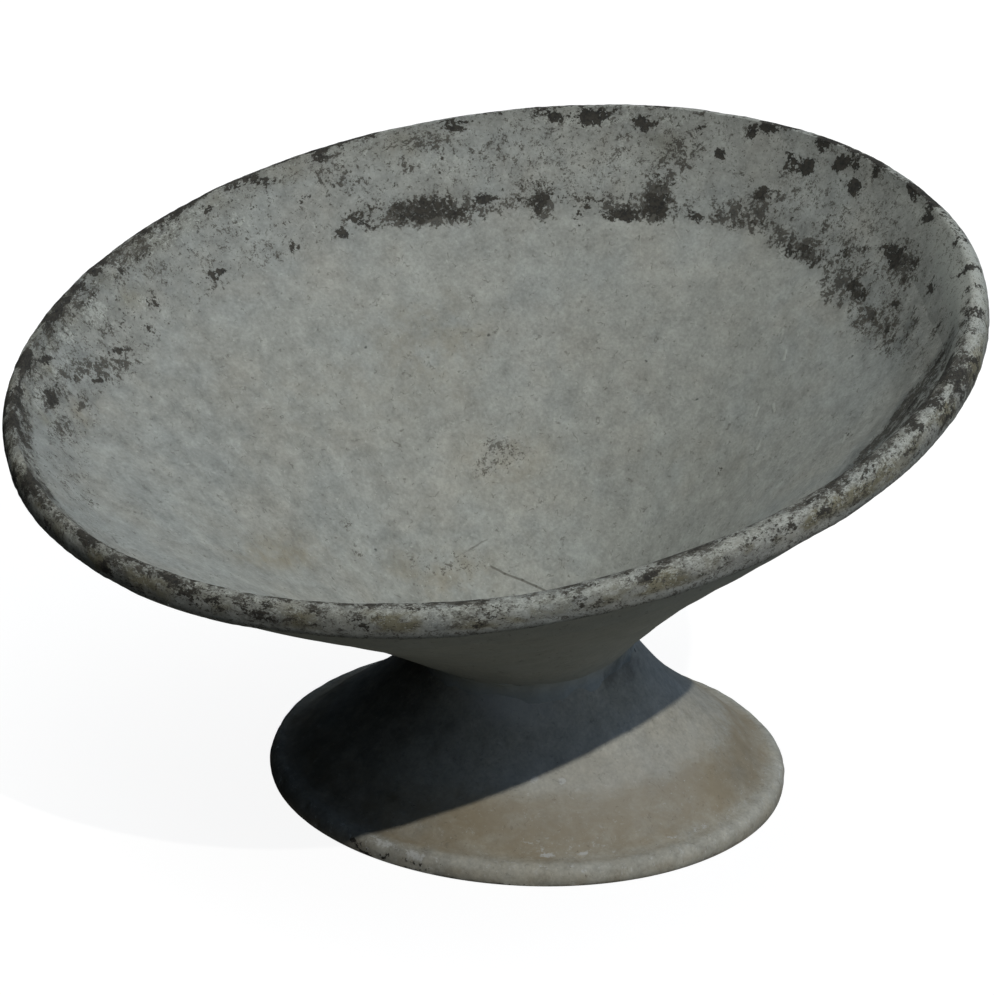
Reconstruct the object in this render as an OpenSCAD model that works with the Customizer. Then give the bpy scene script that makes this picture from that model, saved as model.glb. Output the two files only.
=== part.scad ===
// Bowl planter of thin fibre-cement sheet: a wide conical dish that leans on a flared, hollow foot.
// Millimetres, +Z up. The origin is the centre of the foot on the ground; the dish leans towards -Y.

/* [Dish] */
// Outer diameter over the rolled rim
rim_d = 900; // [760:10:1040]
// Depth inside, from the top of the rim to the middle of the floor, along the dish's own axis
dish_depth = 354; // [330:1:380]
// Thickness of the sheet
sheet_t = 10; // [8:0.5:13]
// How far the steeper wall band runs inwards from the rolled rim to the crease, where the cone begins
band_run = 53; // [35:1:75]
// Depth of that crease below the top of the rim
band_drop = 78; // [65:1:100]
// Radius that softens the crease on the inside
crease_round = 60; // [20:5:120]
// Inside radius of the rounded floor
floor_r = 120; // [105:1:130]
// Steepness of the cone where it leaves the floor, in degrees
cone_angle = 44; // [41:0.5:48]

/* [Rolled rim] */
// Width of the rolled rim, which is also the diameter of its round top
bead_w = 27; // [22:1:34]
// Height of the rolled rim
bead_h = 35; // [30:1:42]
// How far the sheet reaches up inside the rolled rim
bead_bite = 12; // [6:1:14]

/* [Lean] */
// Lean of the dish from level, in degrees
lean = 13; // [0:1:16]
// Height at which the dish's axis meets the foot's axis
neck_h = 164; // [150:1:180]
// Distance from that point to the top of the rim, along the dish's own axis
dish_rise = 299; // [285:1:315]

/* [Foot] */
// Diameter of the foot over its edge
foot_d = 487; // [420:1:560]
// Thickness of the foot's sheet
foot_t = 11; // [8:0.5:13]
// Radius that the flare runs in to, where it would end inside the dish
waist_r = 73; // [63:1:83]
// Height at which the flare would end inside the dish
waist_h = 221; // [211:1:235]
// How quickly the flare draws in from the edge: higher is slimmer
flare = 2.2; // [1.9:0.05:2.5]
// How long the flare stays low at its toe: higher is flatter
toe = 1; // [1:0.05:1.3]

/* [Foot edge] */
// Width of the edge strip
edge_w = 17; // [14:0.5:22]
// Height of the edge strip
edge_h = 21; // [18:0.5:26]
// Height of the upright outer face, below the rounded shoulder
edge_face = 7; // [4:0.5:10]
// Depth of the channel just inside the edge strip
channel_d = 2.5; // [1:0.5:4]
// Thickness of the edge strip outside the end of the sheet
edge_cover = 7.5; // [5:0.5:10]

/* [Neck joint] */
// Thickness of the mortar bed between the foot and the dish
bed_t = 4; // [2:0.5:8]
// Radius of the fillet round the outside of the neck
outer_fillet_r = 14; // [8:1:20]
// Radius of the fillet round the inside of the neck
inner_fillet_r = 10; // [6:1:14]

/* [Drain] */
// Diameter of the drain hole in the floor
drain_d = 25; // [12:1:32]

/* [Hidden] */
$fn = 144;

cement = [0.50, 0.52, 0.49];
rim_cement = [0.36, 0.35, 0.31];
foot_cement = [0.58, 0.56, 0.50];
mortar = [0.43, 0.44, 0.42];

floor_steps = 10;
cone_steps = 8;
crease_steps = 3;
bead_steps = 14;
foot_steps = 18;
shoulder_steps = 6;
fillet_steps = 6;
search_steps = 24;
search_from = 0.3;  // the joint lies beyond this share of the foot's outline
arris = 2;      // small bevel that keeps the foot edge from chipping
back_in = 3;    // how far a fillet's blank reaches back into its neighbours before they trim it
through = 60;   // length of the tool that opens the drain

rim_r = rim_d / 2;
foot_r = foot_d / 2;
floor_s = dish_rise - dish_depth + floor_r;     // centre of the rounded floor on the dish's axis
crease = [rim_r - bead_w - band_run, dish_rise - band_drop];
bead_low = dish_rise - bead_h + bead_w / 2;     // centre of the rolled rim's round underside
bead_top = dish_rise - bead_w / 2;              // centre of its round top
bead_mid_r = rim_r - bead_w / 2;
wall_top = [rim_r - bead_w, bead_low];          // where the wall band runs into the rolled rim
toe_r = foot_r - edge_cover;
toe_h = edge_h - channel_d;

// ---- plane geometry: points are [radius, height] --------------------------------------------

function heading(a) = [cos(a), sin(a)];
function outward(a) = [sin(a), -cos(a)];        // the normal on the right of a line that runs at angle a
function angle_to(p, q) = atan2(q.y - p.y, q.x - p.x);
function reversed(list) = [for (i = [len(list) - 1:-1:0]) list[i]];
function arc(centre, r, a0, a1, steps) = [for (i = [0:steps]) centre + r * heading(a0 + (a1 - a0) * i / steps)];

// A station is [point, outward normal]; every face of the dish is the same row of stations, moved outwards.
function face_of(stations, depth) = [for (s = stations) s[0] + depth * s[1]];
function layer(stations, from, to) = concat(face_of(stations, from), reversed(face_of(stations, to)));

// ---- outline of the dish ---------------------------------------------------------------------

floor_stations = [for (i = [0:floor_steps]) let (a = cone_angle * i / floor_steps)
    [[0, floor_s] + floor_r * outward(a), outward(a)]];

// The cone bows a little: it leaves the floor at cone_angle, and its knee turns it towards the crease.
cone_start = [0, floor_s] + floor_r * outward(cone_angle);
cone_knee = cone_start + norm(crease - cone_start) / 2 * heading(cone_angle);
cone_end_angle = angle_to(cone_knee, crease);
wall_angle = angle_to(crease, wall_top);
crease_leg = crease_round * tan((wall_angle - cone_end_angle) / 2);
cone_end = crease - crease_leg * heading(cone_end_angle);

function cone_point(t) = (1 - t) * (1 - t) * cone_start + 2 * t * (1 - t) * cone_knee + t * t * cone_end;
function cone_dir(t) = angle_to((1 - t) * cone_start + t * cone_knee, (1 - t) * cone_knee + t * cone_end);
cone_stations = [for (i = [0:cone_steps]) let (t = i / cone_steps) [cone_point(t), outward(cone_dir(t))]];

crease_centre = cone_end - crease_round * outward(cone_end_angle);
crease_stations = [for (i = [1:crease_steps])
    let (a = cone_end_angle + (wall_angle - cone_end_angle) * i / crease_steps)
    [crease_centre + crease_round * outward(a), outward(a)]];

wall_end = [wall_top + bead_bite * heading(wall_angle), outward(wall_angle)];
sheet_stations = concat(cone_stations, crease_stations, [wall_end]);
under_stations = concat(floor_stations, cone_stations);

// ---- outline of the foot ---------------------------------------------------------------------

function foot_point(t) = [waist_r + (toe_r - waist_r) * pow(1 - t, flare),
                          toe_h + (waist_h - toe_h) * pow(t, toe)];
function foot_dir(t) = atan2((waist_h - toe_h) * toe * pow(t, toe - 1),
                             -(toe_r - waist_r) * flare * pow(1 - t, flare - 1));
foot_stations = [for (i = [0:foot_steps]) let (t = i / foot_steps) [foot_point(t), outward(foot_dir(t))]];

// ---- where the foot meets the underside of the dish --------------------------------------------

// How far a point of the foot's outline, on the low side (-1) or the high side (+1), is inside the dish
function into_dish(p, side) =
    let (y = side * p.x, h = p.y - neck_h,
         r = y * cos(lean) + h * sin(lean), s = h * cos(lean) - y * sin(lean))
    s - lookup(abs(r), face_of(under_stations, sheet_t));
function foot_face(t, depth) = foot_point(t) - depth * outward(foot_dir(t));
function meet(side, depth, lo, hi, left) = left == 0 ? (lo + hi) / 2
    : let (mid = (lo + hi) / 2)
      into_dish(foot_face(mid, depth), side) > 0 ? meet(side, depth, lo, mid, left - 1)
                                                 : meet(side, depth, mid, hi, left - 1);
function meet_t(side, depth) = meet(side, depth, search_from, 1, search_steps);

// The line of the joint is close to a circle. Its frame is [centre y, centre z, slope, radius, steepness of the foot].
function joint(depth) =
    let (t_low = meet_t(-1, depth), t_high = meet_t(1, depth),
         low = foot_face(t_low, depth), high = foot_face(t_high, depth),
         slope = atan2(high.y - low.y, high.x + low.x),
         steep = 180 - (foot_dir(t_low) + foot_dir(t_high)) / 2)
    [(high.x - low.x) / 2, (high.y + low.y) / 2, slope, norm([high.x + low.x, high.y - low.y]) / 2, steep];

module dish_place() translate([0, 0, neck_h]) rotate([lean, 0, 0]) children();

module foot_tube() rotate_extrude() polygon(layer(foot_stations, 0, -foot_t));

// Everything above the underside of the dish
module above_underside(depth) {
    face = face_of(under_stations, depth);
    top = face[len(face) - 1].y;
    dish_place() rotate_extrude() polygon(concat(face, [[0, top]]));
}

// A ring that rounds off the corner between two faces that leave it at angles a1 and a2, trimmed by both
module fillet_ring(seat, a1, a2, r) {
    half = (a1 - a2) / 2;
    mid = (a1 + a2) / 2;
    corner = [seat[3], 0];
    centre = corner + r / sin(half) * heading(mid);
    swing = 90 - half;
    bend = arc(centre, r, mid + 180 - swing, mid + 180 + swing, fillet_steps);
    back = [bend[fillet_steps] + back_in * heading(mid + 180 + swing),
            corner - back_in / sin(half) * heading(mid),
            bend[0] + back_in * heading(mid + 180 - swing)];
    difference() {
        translate([0, seat[0], seat[1]]) rotate([seat[2], 0, 0]) rotate_extrude() polygon(concat(bend, back));
        foot_tube();
        above_underside(sheet_t);
    }
}

// ---- the pieces ------------------------------------------------------------------------------

// Cone and wall band, one sheet, open in the middle for the floor
module dish_shell() {
    color(cement) dish_place() rotate_extrude() polygon(layer(sheet_stations, 0, sheet_t));
}

// Rounded floor, drained at its lowest point
module floor_disc() {
    color(cement) difference() {
        dish_place() rotate_extrude() polygon(layer(floor_stations, 0, sheet_t));
        translate([0, -floor_s * sin(lean), neck_h + floor_s * cos(lean) - floor_r - sheet_t - through / 2])
            cylinder(d = drain_d, h = through);
    }
}

// Rim rolled over the edge of the sheet
module rim_bead() {
    color(rim_cement) dish_place() rotate_extrude() difference() {
        polygon(concat(arc([bead_mid_r, bead_top], bead_w / 2, 0, 180, bead_steps),
                       arc([bead_mid_r, bead_low], bead_w / 2, 180, 360, bead_steps)));
        polygon(layer(sheet_stations, 0, sheet_t));
    }
}

// Mortar that beds the dish on the top of the foot
module neck_bed() {
    color(mortar) intersection() {
        foot_tube();
        dish_place() rotate_extrude() polygon(layer(under_stations, sheet_t, sheet_t + bed_t));
    }
}

// Fillet wiped round the outside of the neck
module neck_fillet_outer() {
    seat = joint(0);
    color(mortar) fillet_ring(seat, cone_angle, -seat[4], outer_fillet_r);
}

// Fillet packed round the inside of the neck
module neck_fillet_inner() {
    seat = joint(foot_t);
    color(mortar) fillet_ring(seat, -seat[4], cone_angle - 180, inner_fillet_r);
}

// Flared foot, cut to the underside of the dish
module foot_shell() {
    color(foot_cement) difference() {
        foot_tube();
        above_underside(sheet_t + bed_t);
    }
}

// Edge strip that closes the foot's sheet and stands on the ground
module foot_edge() {
    inner_r = foot_r - edge_w;
    shoulder_r = edge_cover + arris;
    shoulder = [for (i = [0:shoulder_steps]) let (a = 90 * i / shoulder_steps)
        [foot_r - shoulder_r * (1 - cos(a)), edge_face + (edge_h - edge_face) * sin(a)]];
    color(foot_cement) rotate_extrude() difference() {
        polygon(concat([[inner_r + arris, 0], [foot_r - arris, 0], [foot_r, arris]], shoulder,
                       [[inner_r + arris, toe_h], [inner_r, toe_h - arris], [inner_r, arris]]));
        polygon(layer(foot_stations, 0, -foot_t));
    }
}

dish_shell();
floor_disc();
rim_bead();
neck_bed();
neck_fillet_outer();
neck_fillet_inner();
foot_shell();
foot_edge();
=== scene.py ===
"""A weathered bowl planter of hand-laid fibre cement: a wide leaning dish on a flared, hollow foot.

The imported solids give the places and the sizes. This script gives the planter its hand-made surfaces and its
finish: the wavering sheet, the rolled rim, the mortar of the neck, the strip round the foot, and the cement,
lichen and soil on all of them. Everything is in metres, +Z up, and the dish leans towards -Y.
"""

import logging
import math
from dataclasses import dataclass, field
from enum import Enum
from typing import Sequence, Union

import bmesh
import bpy
import numpy as np
from mathutils import Matrix, Vector


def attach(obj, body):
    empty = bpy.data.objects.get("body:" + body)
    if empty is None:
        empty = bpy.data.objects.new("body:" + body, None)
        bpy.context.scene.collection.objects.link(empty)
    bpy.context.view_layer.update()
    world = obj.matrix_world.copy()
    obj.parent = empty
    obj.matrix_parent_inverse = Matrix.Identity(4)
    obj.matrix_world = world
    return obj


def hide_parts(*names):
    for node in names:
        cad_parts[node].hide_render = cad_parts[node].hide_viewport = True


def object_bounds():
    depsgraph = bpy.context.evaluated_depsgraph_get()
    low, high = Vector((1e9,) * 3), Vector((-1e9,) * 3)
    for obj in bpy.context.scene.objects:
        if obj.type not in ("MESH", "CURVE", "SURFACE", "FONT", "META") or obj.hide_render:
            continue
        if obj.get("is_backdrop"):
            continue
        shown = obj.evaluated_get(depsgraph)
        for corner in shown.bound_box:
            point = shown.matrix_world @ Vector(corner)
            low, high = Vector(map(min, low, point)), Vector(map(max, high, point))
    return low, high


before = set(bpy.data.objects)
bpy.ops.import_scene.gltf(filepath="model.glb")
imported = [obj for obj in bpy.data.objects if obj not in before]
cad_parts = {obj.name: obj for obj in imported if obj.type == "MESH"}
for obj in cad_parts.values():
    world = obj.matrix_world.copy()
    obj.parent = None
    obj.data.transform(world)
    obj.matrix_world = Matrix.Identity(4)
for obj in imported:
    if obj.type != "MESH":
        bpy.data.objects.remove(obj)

LOG = logging.getLogger("planter")
BODY = "root"
MM = 0.001
BAKE_MAP = "OFBake"                 # the name of the UV map that each piece's textures are laid out in
CRISP_EDGE = math.radians(40)       # an edge sharper than this stays crisp

Array = np.ndarray
Mesh = bpy.types.Mesh
Socket = bpy.types.NodeSocket
Sockets = dict[str, Socket]
Place = tuple[float, float]
Colour = tuple[float, float, float, float]
Value = Union[Socket, float, Sequence[float]]


def tone(red: float, green: float, blue: float) -> Colour:
    """Turns a colour as a screen shows it, 0 to 255, into the linear colour that shaders use.

    Args:
        red, green, blue: the three channels, 0 to 255.

    Returns:
        The linear colour with an alpha of 1.
    """
    def linear(channel: float) -> float:
        """One channel, by the sRGB curve."""
        share = channel / 255
        return share / 12.92 if share <= 0.04045 else ((share + 0.055) / 1.055) ** 2.4

    return linear(red), linear(green), linear(blue), 1.0


# ---- surfaces ----------------------------------------------------------------------------------------


@dataclass(frozen=True)
class Undulation:
    """Smooth random waves, such as a hand and a trowel leave in wet cement."""

    size: float             # the typical length of a wave
    height: float           # how far the surface strays, root mean square
    seed: int
    waves: int = 28

    def at(self, points: Array) -> Array:
        """Works out the height of the waves.

        Args:
            points: places, one to a row.

        Returns:
            The height at each place.
        """
        rng = np.random.default_rng(self.seed)
        ways = unit(rng.normal(size=(self.waves, 3)))
        ways *= 2 * math.pi / self.size * rng.uniform(0.6, 1.5, (self.waves, 1))
        starts = rng.uniform(0, 2 * math.pi, self.waves)
        return self.height * math.sqrt(2 / self.waves) * np.cos(points @ ways.T + starts).sum(axis=1)


def waver(points: Array, *waves: Undulation) -> Array:
    """The heights of several waves, one on top of the other."""
    return sum(wave.at(points) for wave in waves)


def ease(value: Array, start: float, end: float) -> Array:
    """Runs smoothly from 0, where value is at start or before it, to 1, where it is at end or past it."""
    share = np.clip((value - start) / (end - start), 0, 1)
    return share * share * (3 - 2 * share)


def hump(value: Array, centre: float, width: float) -> Array:
    """A soft bump of height 1 at centre, which fades out within width on either side."""
    return ease(np.abs(value - centre), width, 0)


def unit(vectors: Array) -> Array:
    """The same directions, each with a length of 1."""
    return vectors / np.linalg.norm(vectors, axis=-1, keepdims=True)


def beside(line: Array) -> Array:
    """The directions square to a line of (r, z) stations, to its right as it runs on."""
    along = unit(np.gradient(line, axis=0))
    return np.stack([along[..., 1], -along[..., 0]], axis=-1)


def arc(centre: Place, reach: Place, start: float, end: float, count: int) -> list[Place]:
    """Points on a round, or on one that is higher than wide, between two angles in degrees."""
    turns = np.radians(np.linspace(start, end, count))
    return list(zip(centre[0] + reach[0] * np.cos(turns), centre[1] + reach[1] * np.sin(turns)))


def bend(first: Array, corner: Array, last: Array, share: float) -> Array:
    """A place on the curve that leaves first towards corner and comes into last from it."""
    return (1 - share) ** 2 * first + 2 * share * (1 - share) * corner + share ** 2 * last


def cover(ground: Array, amount: float, share: Array) -> Array:
    """Raises what lies on the ground towards an amount, by a share, and never lowers it."""
    return ground + (np.maximum(amount, ground) - ground) * share


@dataclass(frozen=True)
class Chart:
    """Where a part of a skin lies in its textures. The part is a run of gaps between rings."""

    first: int              # its first gap
    last: int               # its last gap

    def lay(self, share: Array, turn: Array, least: Array) -> Array:
        """Works out where the part's corners lie.

        Args:
            share: how far each lies from the part's first ring to its last, 0 to 1.
            turn: where each lies round its ring, 0 to 1 and a little more.
            least: the least turn of the face that each belongs to.

        Returns:
            A place in the texture for each.
        """
        raise NotImplementedError


@dataclass(frozen=True)
class DiscChart(Chart):
    """A part laid out as a disc, without a cut."""

    middle: tuple[float, float]
    start: float            # the disc's radius at its first ring
    end: float              # and at its last

    def lay(self, share: Array, turn: Array, least: Array) -> Array:
        """Works out where the part's corners lie, as Chart.lay says."""
        radius = self.start + (self.end - self.start) * share
        angle = 2 * math.pi * turn
        return np.array(self.middle) + radius[:, None] * np.stack([np.cos(angle), np.sin(angle)], axis=-1)


@dataclass(frozen=True)
class StripChart(Chart):
    """A part laid out as a strip, cut into rows that lie one above the other."""

    corner: tuple[float, float] = (0.02, 0.02)
    extent: tuple[float, float] = (0.95, 0.96)
    rows: int = 1

    def lay(self, share: Array, turn: Array, least: Array) -> Array:
        """Works out where the part's corners lie, as Chart.lay says."""
        row = np.minimum(np.floor(least * self.rows + 1e-6), self.rows - 1)
        across = self.corner[0] + (turn * self.rows - row) * self.extent[0]
        up = self.corner[1] + (row + 0.93 * share) * self.extent[1] / self.rows
        return np.stack([across, up], axis=-1)


@dataclass
class RingLoft:
    """A surface built from closed rings of points, each joined to the one before it."""

    name: str
    rings: list[Array] = field(default_factory=list)

    def add(self, ring: Array) -> None:
        """Adds the next ring, which has as many points as the last, or half or twice as many."""
        self.rings.append(ring)

    @staticmethod
    def bridge(first: Array, second: Array) -> list[tuple[int, ...]]:
        """Joins two rings of point numbers.

        Args:
            first: the point numbers of one ring.
            second: those of the next, as many, or half or twice as many.

        Returns:
            The faces between them.
        """
        if len(first) == len(second):
            loops = zip(first, np.roll(first, -1), np.roll(second, -1), second)
            return [tuple(map(int, loop)) for loop in loops]
        if len(first) < len(second):
            return [face[::-1] for face in RingLoft.bridge(second, first)]
        start, middle, end = first[::2], first[1::2], np.roll(first[::2], -1)
        near, far = second, np.roll(second, -1)
        faces = list(zip(start, middle, near)) + list(zip(middle, end, far)) + list(zip(middle, far, near))
        return [tuple(map(int, face)) for face in faces]

    def mesh(self, charts: Sequence[Chart]) -> Mesh:
        """Joins every ring to the next and the last to the first, as one closed skin.

        Args:
            charts: where the parts of the skin lie in its textures.

        Returns:
            The mesh, with its faces turned outwards.
        """
        faces: list[tuple[int, ...]] = []
        gaps: list[int] = []
        counts = [len(ring) for ring in self.rings]
        numbers = np.split(np.arange(sum(counts)), np.cumsum(counts)[:-1])
        for gap, (here, there) in enumerate(zip(numbers, numbers[1:] + numbers[:1])):
            faces += self.bridge(here, there)
            gaps += [gap] * (len(faces) - len(gaps))
        mesh = bpy.data.meshes.new(self.name)
        mesh.from_pydata(np.concatenate(self.rings).tolist(), [], faces)
        skin = bmesh.new()
        skin.from_mesh(mesh)
        bmesh.ops.recalc_face_normals(skin, faces=skin.faces[:])
        skin.to_mesh(mesh)
        skin.free()
        self.lay_out(mesh, np.array(gaps), charts)
        return mesh

    def lay_out(self, mesh: Mesh, gaps: Array, charts: Sequence[Chart]) -> None:
        """Gives each face its place in the textures.

        Args:
            mesh: the skin.
            gaps: the gap between rings that each face lies in.
            charts: where the parts of the skin lie.
        """
        corners = np.empty(len(mesh.loops), dtype=np.int32)
        mesh.loops.foreach_get("vertex_index", corners)
        starts, counts = (np.empty(len(mesh.polygons), dtype=np.int32) for _ in range(2))
        mesh.polygons.foreach_get("loop_start", starts)
        mesh.polygons.foreach_get("loop_total", counts)
        ring = np.repeat(np.arange(len(self.rings)), [len(r) for r in self.rings])[corners]
        turn = np.concatenate([np.arange(len(r)) / len(r) for r in self.rings])[corners]
        wraps = np.maximum.reduceat(turn, starts) - np.minimum.reduceat(turn, starts) > 0.5
        turn = turn + (np.repeat(wraps, counts) & (turn < 0.5))
        least = np.repeat(np.minimum.reduceat(turn, starts), counts)
        middles = np.array([r.mean(axis=0) for r in self.rings])
        radii = np.array([np.linalg.norm(r - m, axis=1).mean() for r, m in zip(self.rings, middles)])
        climbs = np.linalg.norm(np.roll(middles, -1, axis=0) - middles, axis=1)
        run = np.concatenate([[0.0], np.cumsum(np.hypot(np.roll(radii, -1) - radii, climbs))])
        gap = np.repeat(gaps, counts)
        along = run[gap + (ring != gap)]
        places = np.zeros((len(corners), 2))
        for chart in charts:
            mine = (gap >= chart.first) & (gap <= chart.last)
            start, end = run[chart.first], run[chart.last + 1]
            places[mine] = chart.lay((along[mine] - start) / (end - start), turn[mine], least[mine])
        mesh.uv_layers.new(name=BAKE_MAP).data.foreach_set("uv", places.ravel())


def paint(mesh: Mesh, name: str, values: Array) -> None:
    """Stores one value, or one vector, at each point of a mesh, for its material to read.

    Args:
        mesh: the mesh.
        name: the name that the material asks for.
        values: a row for each point.
    """
    kind, slot = ("FLOAT", "value") if values.ndim == 1 else ("FLOAT_VECTOR", "vector")
    layer = mesh.attributes.new(name, kind, "POINT")
    layer.data.foreach_set(slot, values.astype(np.float32).ravel())


def place_piece(mesh: Mesh, material: bpy.types.Material, nodes: Sequence[str]) -> None:
    """Puts a finished mesh into the scene, in place of the solids that it stands for.

    Args:
        mesh: the piece's mesh, which gives the piece its name.
        material: its finish.
        nodes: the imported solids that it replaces.
    """
    piece = bpy.data.objects.new(mesh.name, mesh)
    bpy.context.scene.collection.objects.link(piece)
    mesh.polygons.foreach_set("use_smooth", [True] * len(mesh.polygons))
    mesh.set_sharp_from_angle(angle=CRISP_EDGE)
    mesh.materials.append(material)
    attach(piece, BODY)
    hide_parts(*nodes)
    LOG.info("%s: %d points, %d faces, in place of %s", piece.name, len(mesh.vertices), len(mesh.polygons),
             ", ".join(nodes))


# ---- node trees --------------------------------------------------------------------------------------


class Tree:
    """Writes a node tree as nested calls. Any argument may be a socket or a plain value."""

    def __init__(self, tree: bpy.types.NodeTree) -> None:
        """Keeps the tree that the calls write into."""
        self.tree = tree

    def node(self, kind: str, **settings: object) -> bpy.types.Node:
        """Adds a node.

        Args:
            kind: its kind, as Blender names it.
            settings: its properties.

        Returns:
            The node.
        """
        made = self.tree.nodes.new(kind)
        for name, value in settings.items():
            setattr(made, name, value)
        return made

    def put(self, value: Value, socket: Socket) -> None:
        """Links a value to a socket, or sets it there where it is a plain one.

        Args:
            value: the value.
            socket: where it goes.
        """
        if isinstance(value, Socket):
            self.tree.links.new(value, socket)
        else:
            socket.default_value = value

    def math(self, operation: str, first: Value, second: Value = 0.0, third: Value = 0.0,
             clamp: bool = False) -> Socket:
        """Adds one step of arithmetic.

        Args:
            operation: what is done, as Blender names it.
            first, second, third: what it is done with.
            clamp: keeps the result between 0 and 1.

        Returns:
            The result.
        """
        made = self.node("ShaderNodeMath", operation=operation, use_clamp=clamp)
        for value, socket in zip((first, second, third), made.inputs):
            self.put(value, socket)
        return made.outputs[0]

    def vector(self, operation: str, first: Value, second: Value = (0, 0, 0), scale: Value = 1.0,
               out: str = "Vector") -> Socket:
        """Adds one step of vector arithmetic.

        Args:
            operation: what is done, as Blender names it.
            first, second, scale: what it is done with.
            out: which result is wanted.

        Returns:
            The result.
        """
        made = self.node("ShaderNodeVectorMath", operation=operation)
        self.put(first, made.inputs[0])
        self.put(second, made.inputs[1])
        self.put(scale, made.inputs[3])
        return made.outputs[out]

    def mix(self, share: Value, first: Value, second: Value, blend: str = "MIX") -> Socket:
        """Blends two colours.

        Args:
            share: how much there is of the second.
            first, second: the colours.
            blend: how they are blended.

        Returns:
            The blend.
        """
        made = self.node("ShaderNodeMix", data_type="RGBA", blend_type=blend, clamp_factor=True)
        self.put(share, made.inputs["Factor"])
        self.put(first, made.inputs[6])
        self.put(second, made.inputs[7])
        return made.outputs[2]

    def cover(self, colour: Value, mask: Value, amount: float, tint: Value) -> Socket:
        """Lays a tint over a colour through a mask."""
        return self.mix(self.math("MULTIPLY", mask, amount), colour, tint)

    def ease(self, value: Value, low: Value, high: Value, to_low: Value = 0.0,
             to_high: Value = 1.0) -> Socket:
        """Runs smoothly from one value to another.

        Args:
            value: what it follows.
            low, high: where it starts and where it ends.
            to_low, to_high: what it is at either end.

        Returns:
            The value.
        """
        made = self.node("ShaderNodeMapRange", interpolation_type="SMOOTHSTEP")
        for given, name in ((value, "Value"), (low, "From Min"), (high, "From Max"), (to_low, "To Min"),
                            (to_high, "To Max")):
            self.put(given, made.inputs[name])
        return made.outputs["Result"]

    def noise(self, position: Value, size: Value, detail: float = 4.0, rough: float = 0.55,
              twist: float = 0.0, shift: float = 0.0) -> Socket:
        """Cloudy noise, about 0.5 on average.

        Args:
            position: where it is read.
            size: the size of its largest lumps, in metres.
            detail: how many finer layers it has.
            rough: how strong the finer layers are.
            twist: how much it is distorted.
            shift: moves the pattern, so that two noises of one size differ.

        Returns:
            The noise.
        """
        made = self.node("ShaderNodeTexNoise")
        moved = self.vector("ADD", position, (shift, shift * 0.7, shift * 1.3)) if shift else position
        self.put(moved, made.inputs["Vector"])
        self.put(self.math("DIVIDE", 1.0, size) if isinstance(size, Socket) else 1 / size,
                 made.inputs["Scale"])
        for value, name in ((detail, "Detail"), (rough, "Roughness"), (twist, "Distortion")):
            made.inputs[name].default_value = value
        return made.outputs["Fac"]

    def stray(self, position: Value, scale: float, reach: Value, detail: float) -> Socket:
        """Moves a place at random, a little in every direction.

        Args:
            position: the place.
            scale: the scale of the noise that moves it.
            reach: about how far it may move.
            detail: how many finer layers the noise has.

        Returns:
            The place that it is moved to.
        """
        made = self.node("ShaderNodeTexNoise")
        self.put(position, made.inputs["Vector"])
        made.inputs["Scale"].default_value = scale
        made.inputs["Detail"].default_value = detail
        shift = self.vector("SUBTRACT", made.outputs["Color"], (0.5, 0.5, 0.5))
        return self.vector("ADD", position, self.vector("SCALE", shift, scale=reach))

    def attribute(self, name: str, out: str = "Fac") -> Socket:
        """Reads what paint() stored on the mesh."""
        return self.node("ShaderNodeAttribute", attribute_name=name).outputs[out]

    def place(self) -> Socket:
        """The place on the object, in metres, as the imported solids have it."""
        return self.node("ShaderNodeTexCoord").outputs["Object"]


class SocketKind(Enum):
    """The kinds of socket that a shared group has."""

    NUMBER = "NodeSocketFloat"
    POINT = "NodeSocketVector"
    COLOUR = "NodeSocketColor"

    def named(self, *names: str) -> dict[str, "SocketKind"]:
        """Gives sockets of this kind to some names."""
        return dict.fromkeys(names, self)


class SharedGroup:
    """A shader node group that several finishes use, made once and placed with its own values in each."""

    made: dict[str, bpy.types.NodeTree] = {}        # every shared group, by name
    name: str = ""
    takes: dict[str, SocketKind] = {}
    gives: dict[str, SocketKind] = {}

    def write(self, tree: Tree, given: Sockets) -> Sockets:
        """Writes the group's nodes.

        Args:
            tree: the group's own tree.
            given: the group's inputs by name.

        Returns:
            The group's outputs by name.
        """
        raise NotImplementedError

    def group(self) -> bpy.types.NodeTree:
        """Makes the group the first time it is asked for.

        Returns:
            The group's tree.
        """
        if self.name not in self.made:
            made = bpy.data.node_groups.new(self.name, "ShaderNodeTree")
            for name, kind in self.takes.items():
                made.interface.new_socket(name, in_out="INPUT", socket_type=kind.value)
            for name, kind in self.gives.items():
                made.interface.new_socket(name, in_out="OUTPUT", socket_type=kind.value)
            tree = Tree(made)
            given = tree.node("NodeGroupInput").outputs
            ends = tree.node("NodeGroupOutput").inputs
            for name, value in self.write(tree, {name: given[name] for name in self.takes}).items():
                tree.put(value, ends[name])
            self.made[self.name] = made
        return self.made[self.name]

    def use(self, tree: Tree, **values: Value) -> Sockets:
        """Places the group in a material.

        Args:
            tree: the material's tree.
            values: the group's inputs, with a low line in a name where the socket has a space.

        Returns:
            The group's outputs by name.
        """
        placed = tree.node("ShaderNodeGroup", node_tree=self.group())
        for name, value in values.items():
            tree.put(value, placed.inputs[name.replace("_", " ")])
        return {name: placed.outputs[name] for name in self.gives}


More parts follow.
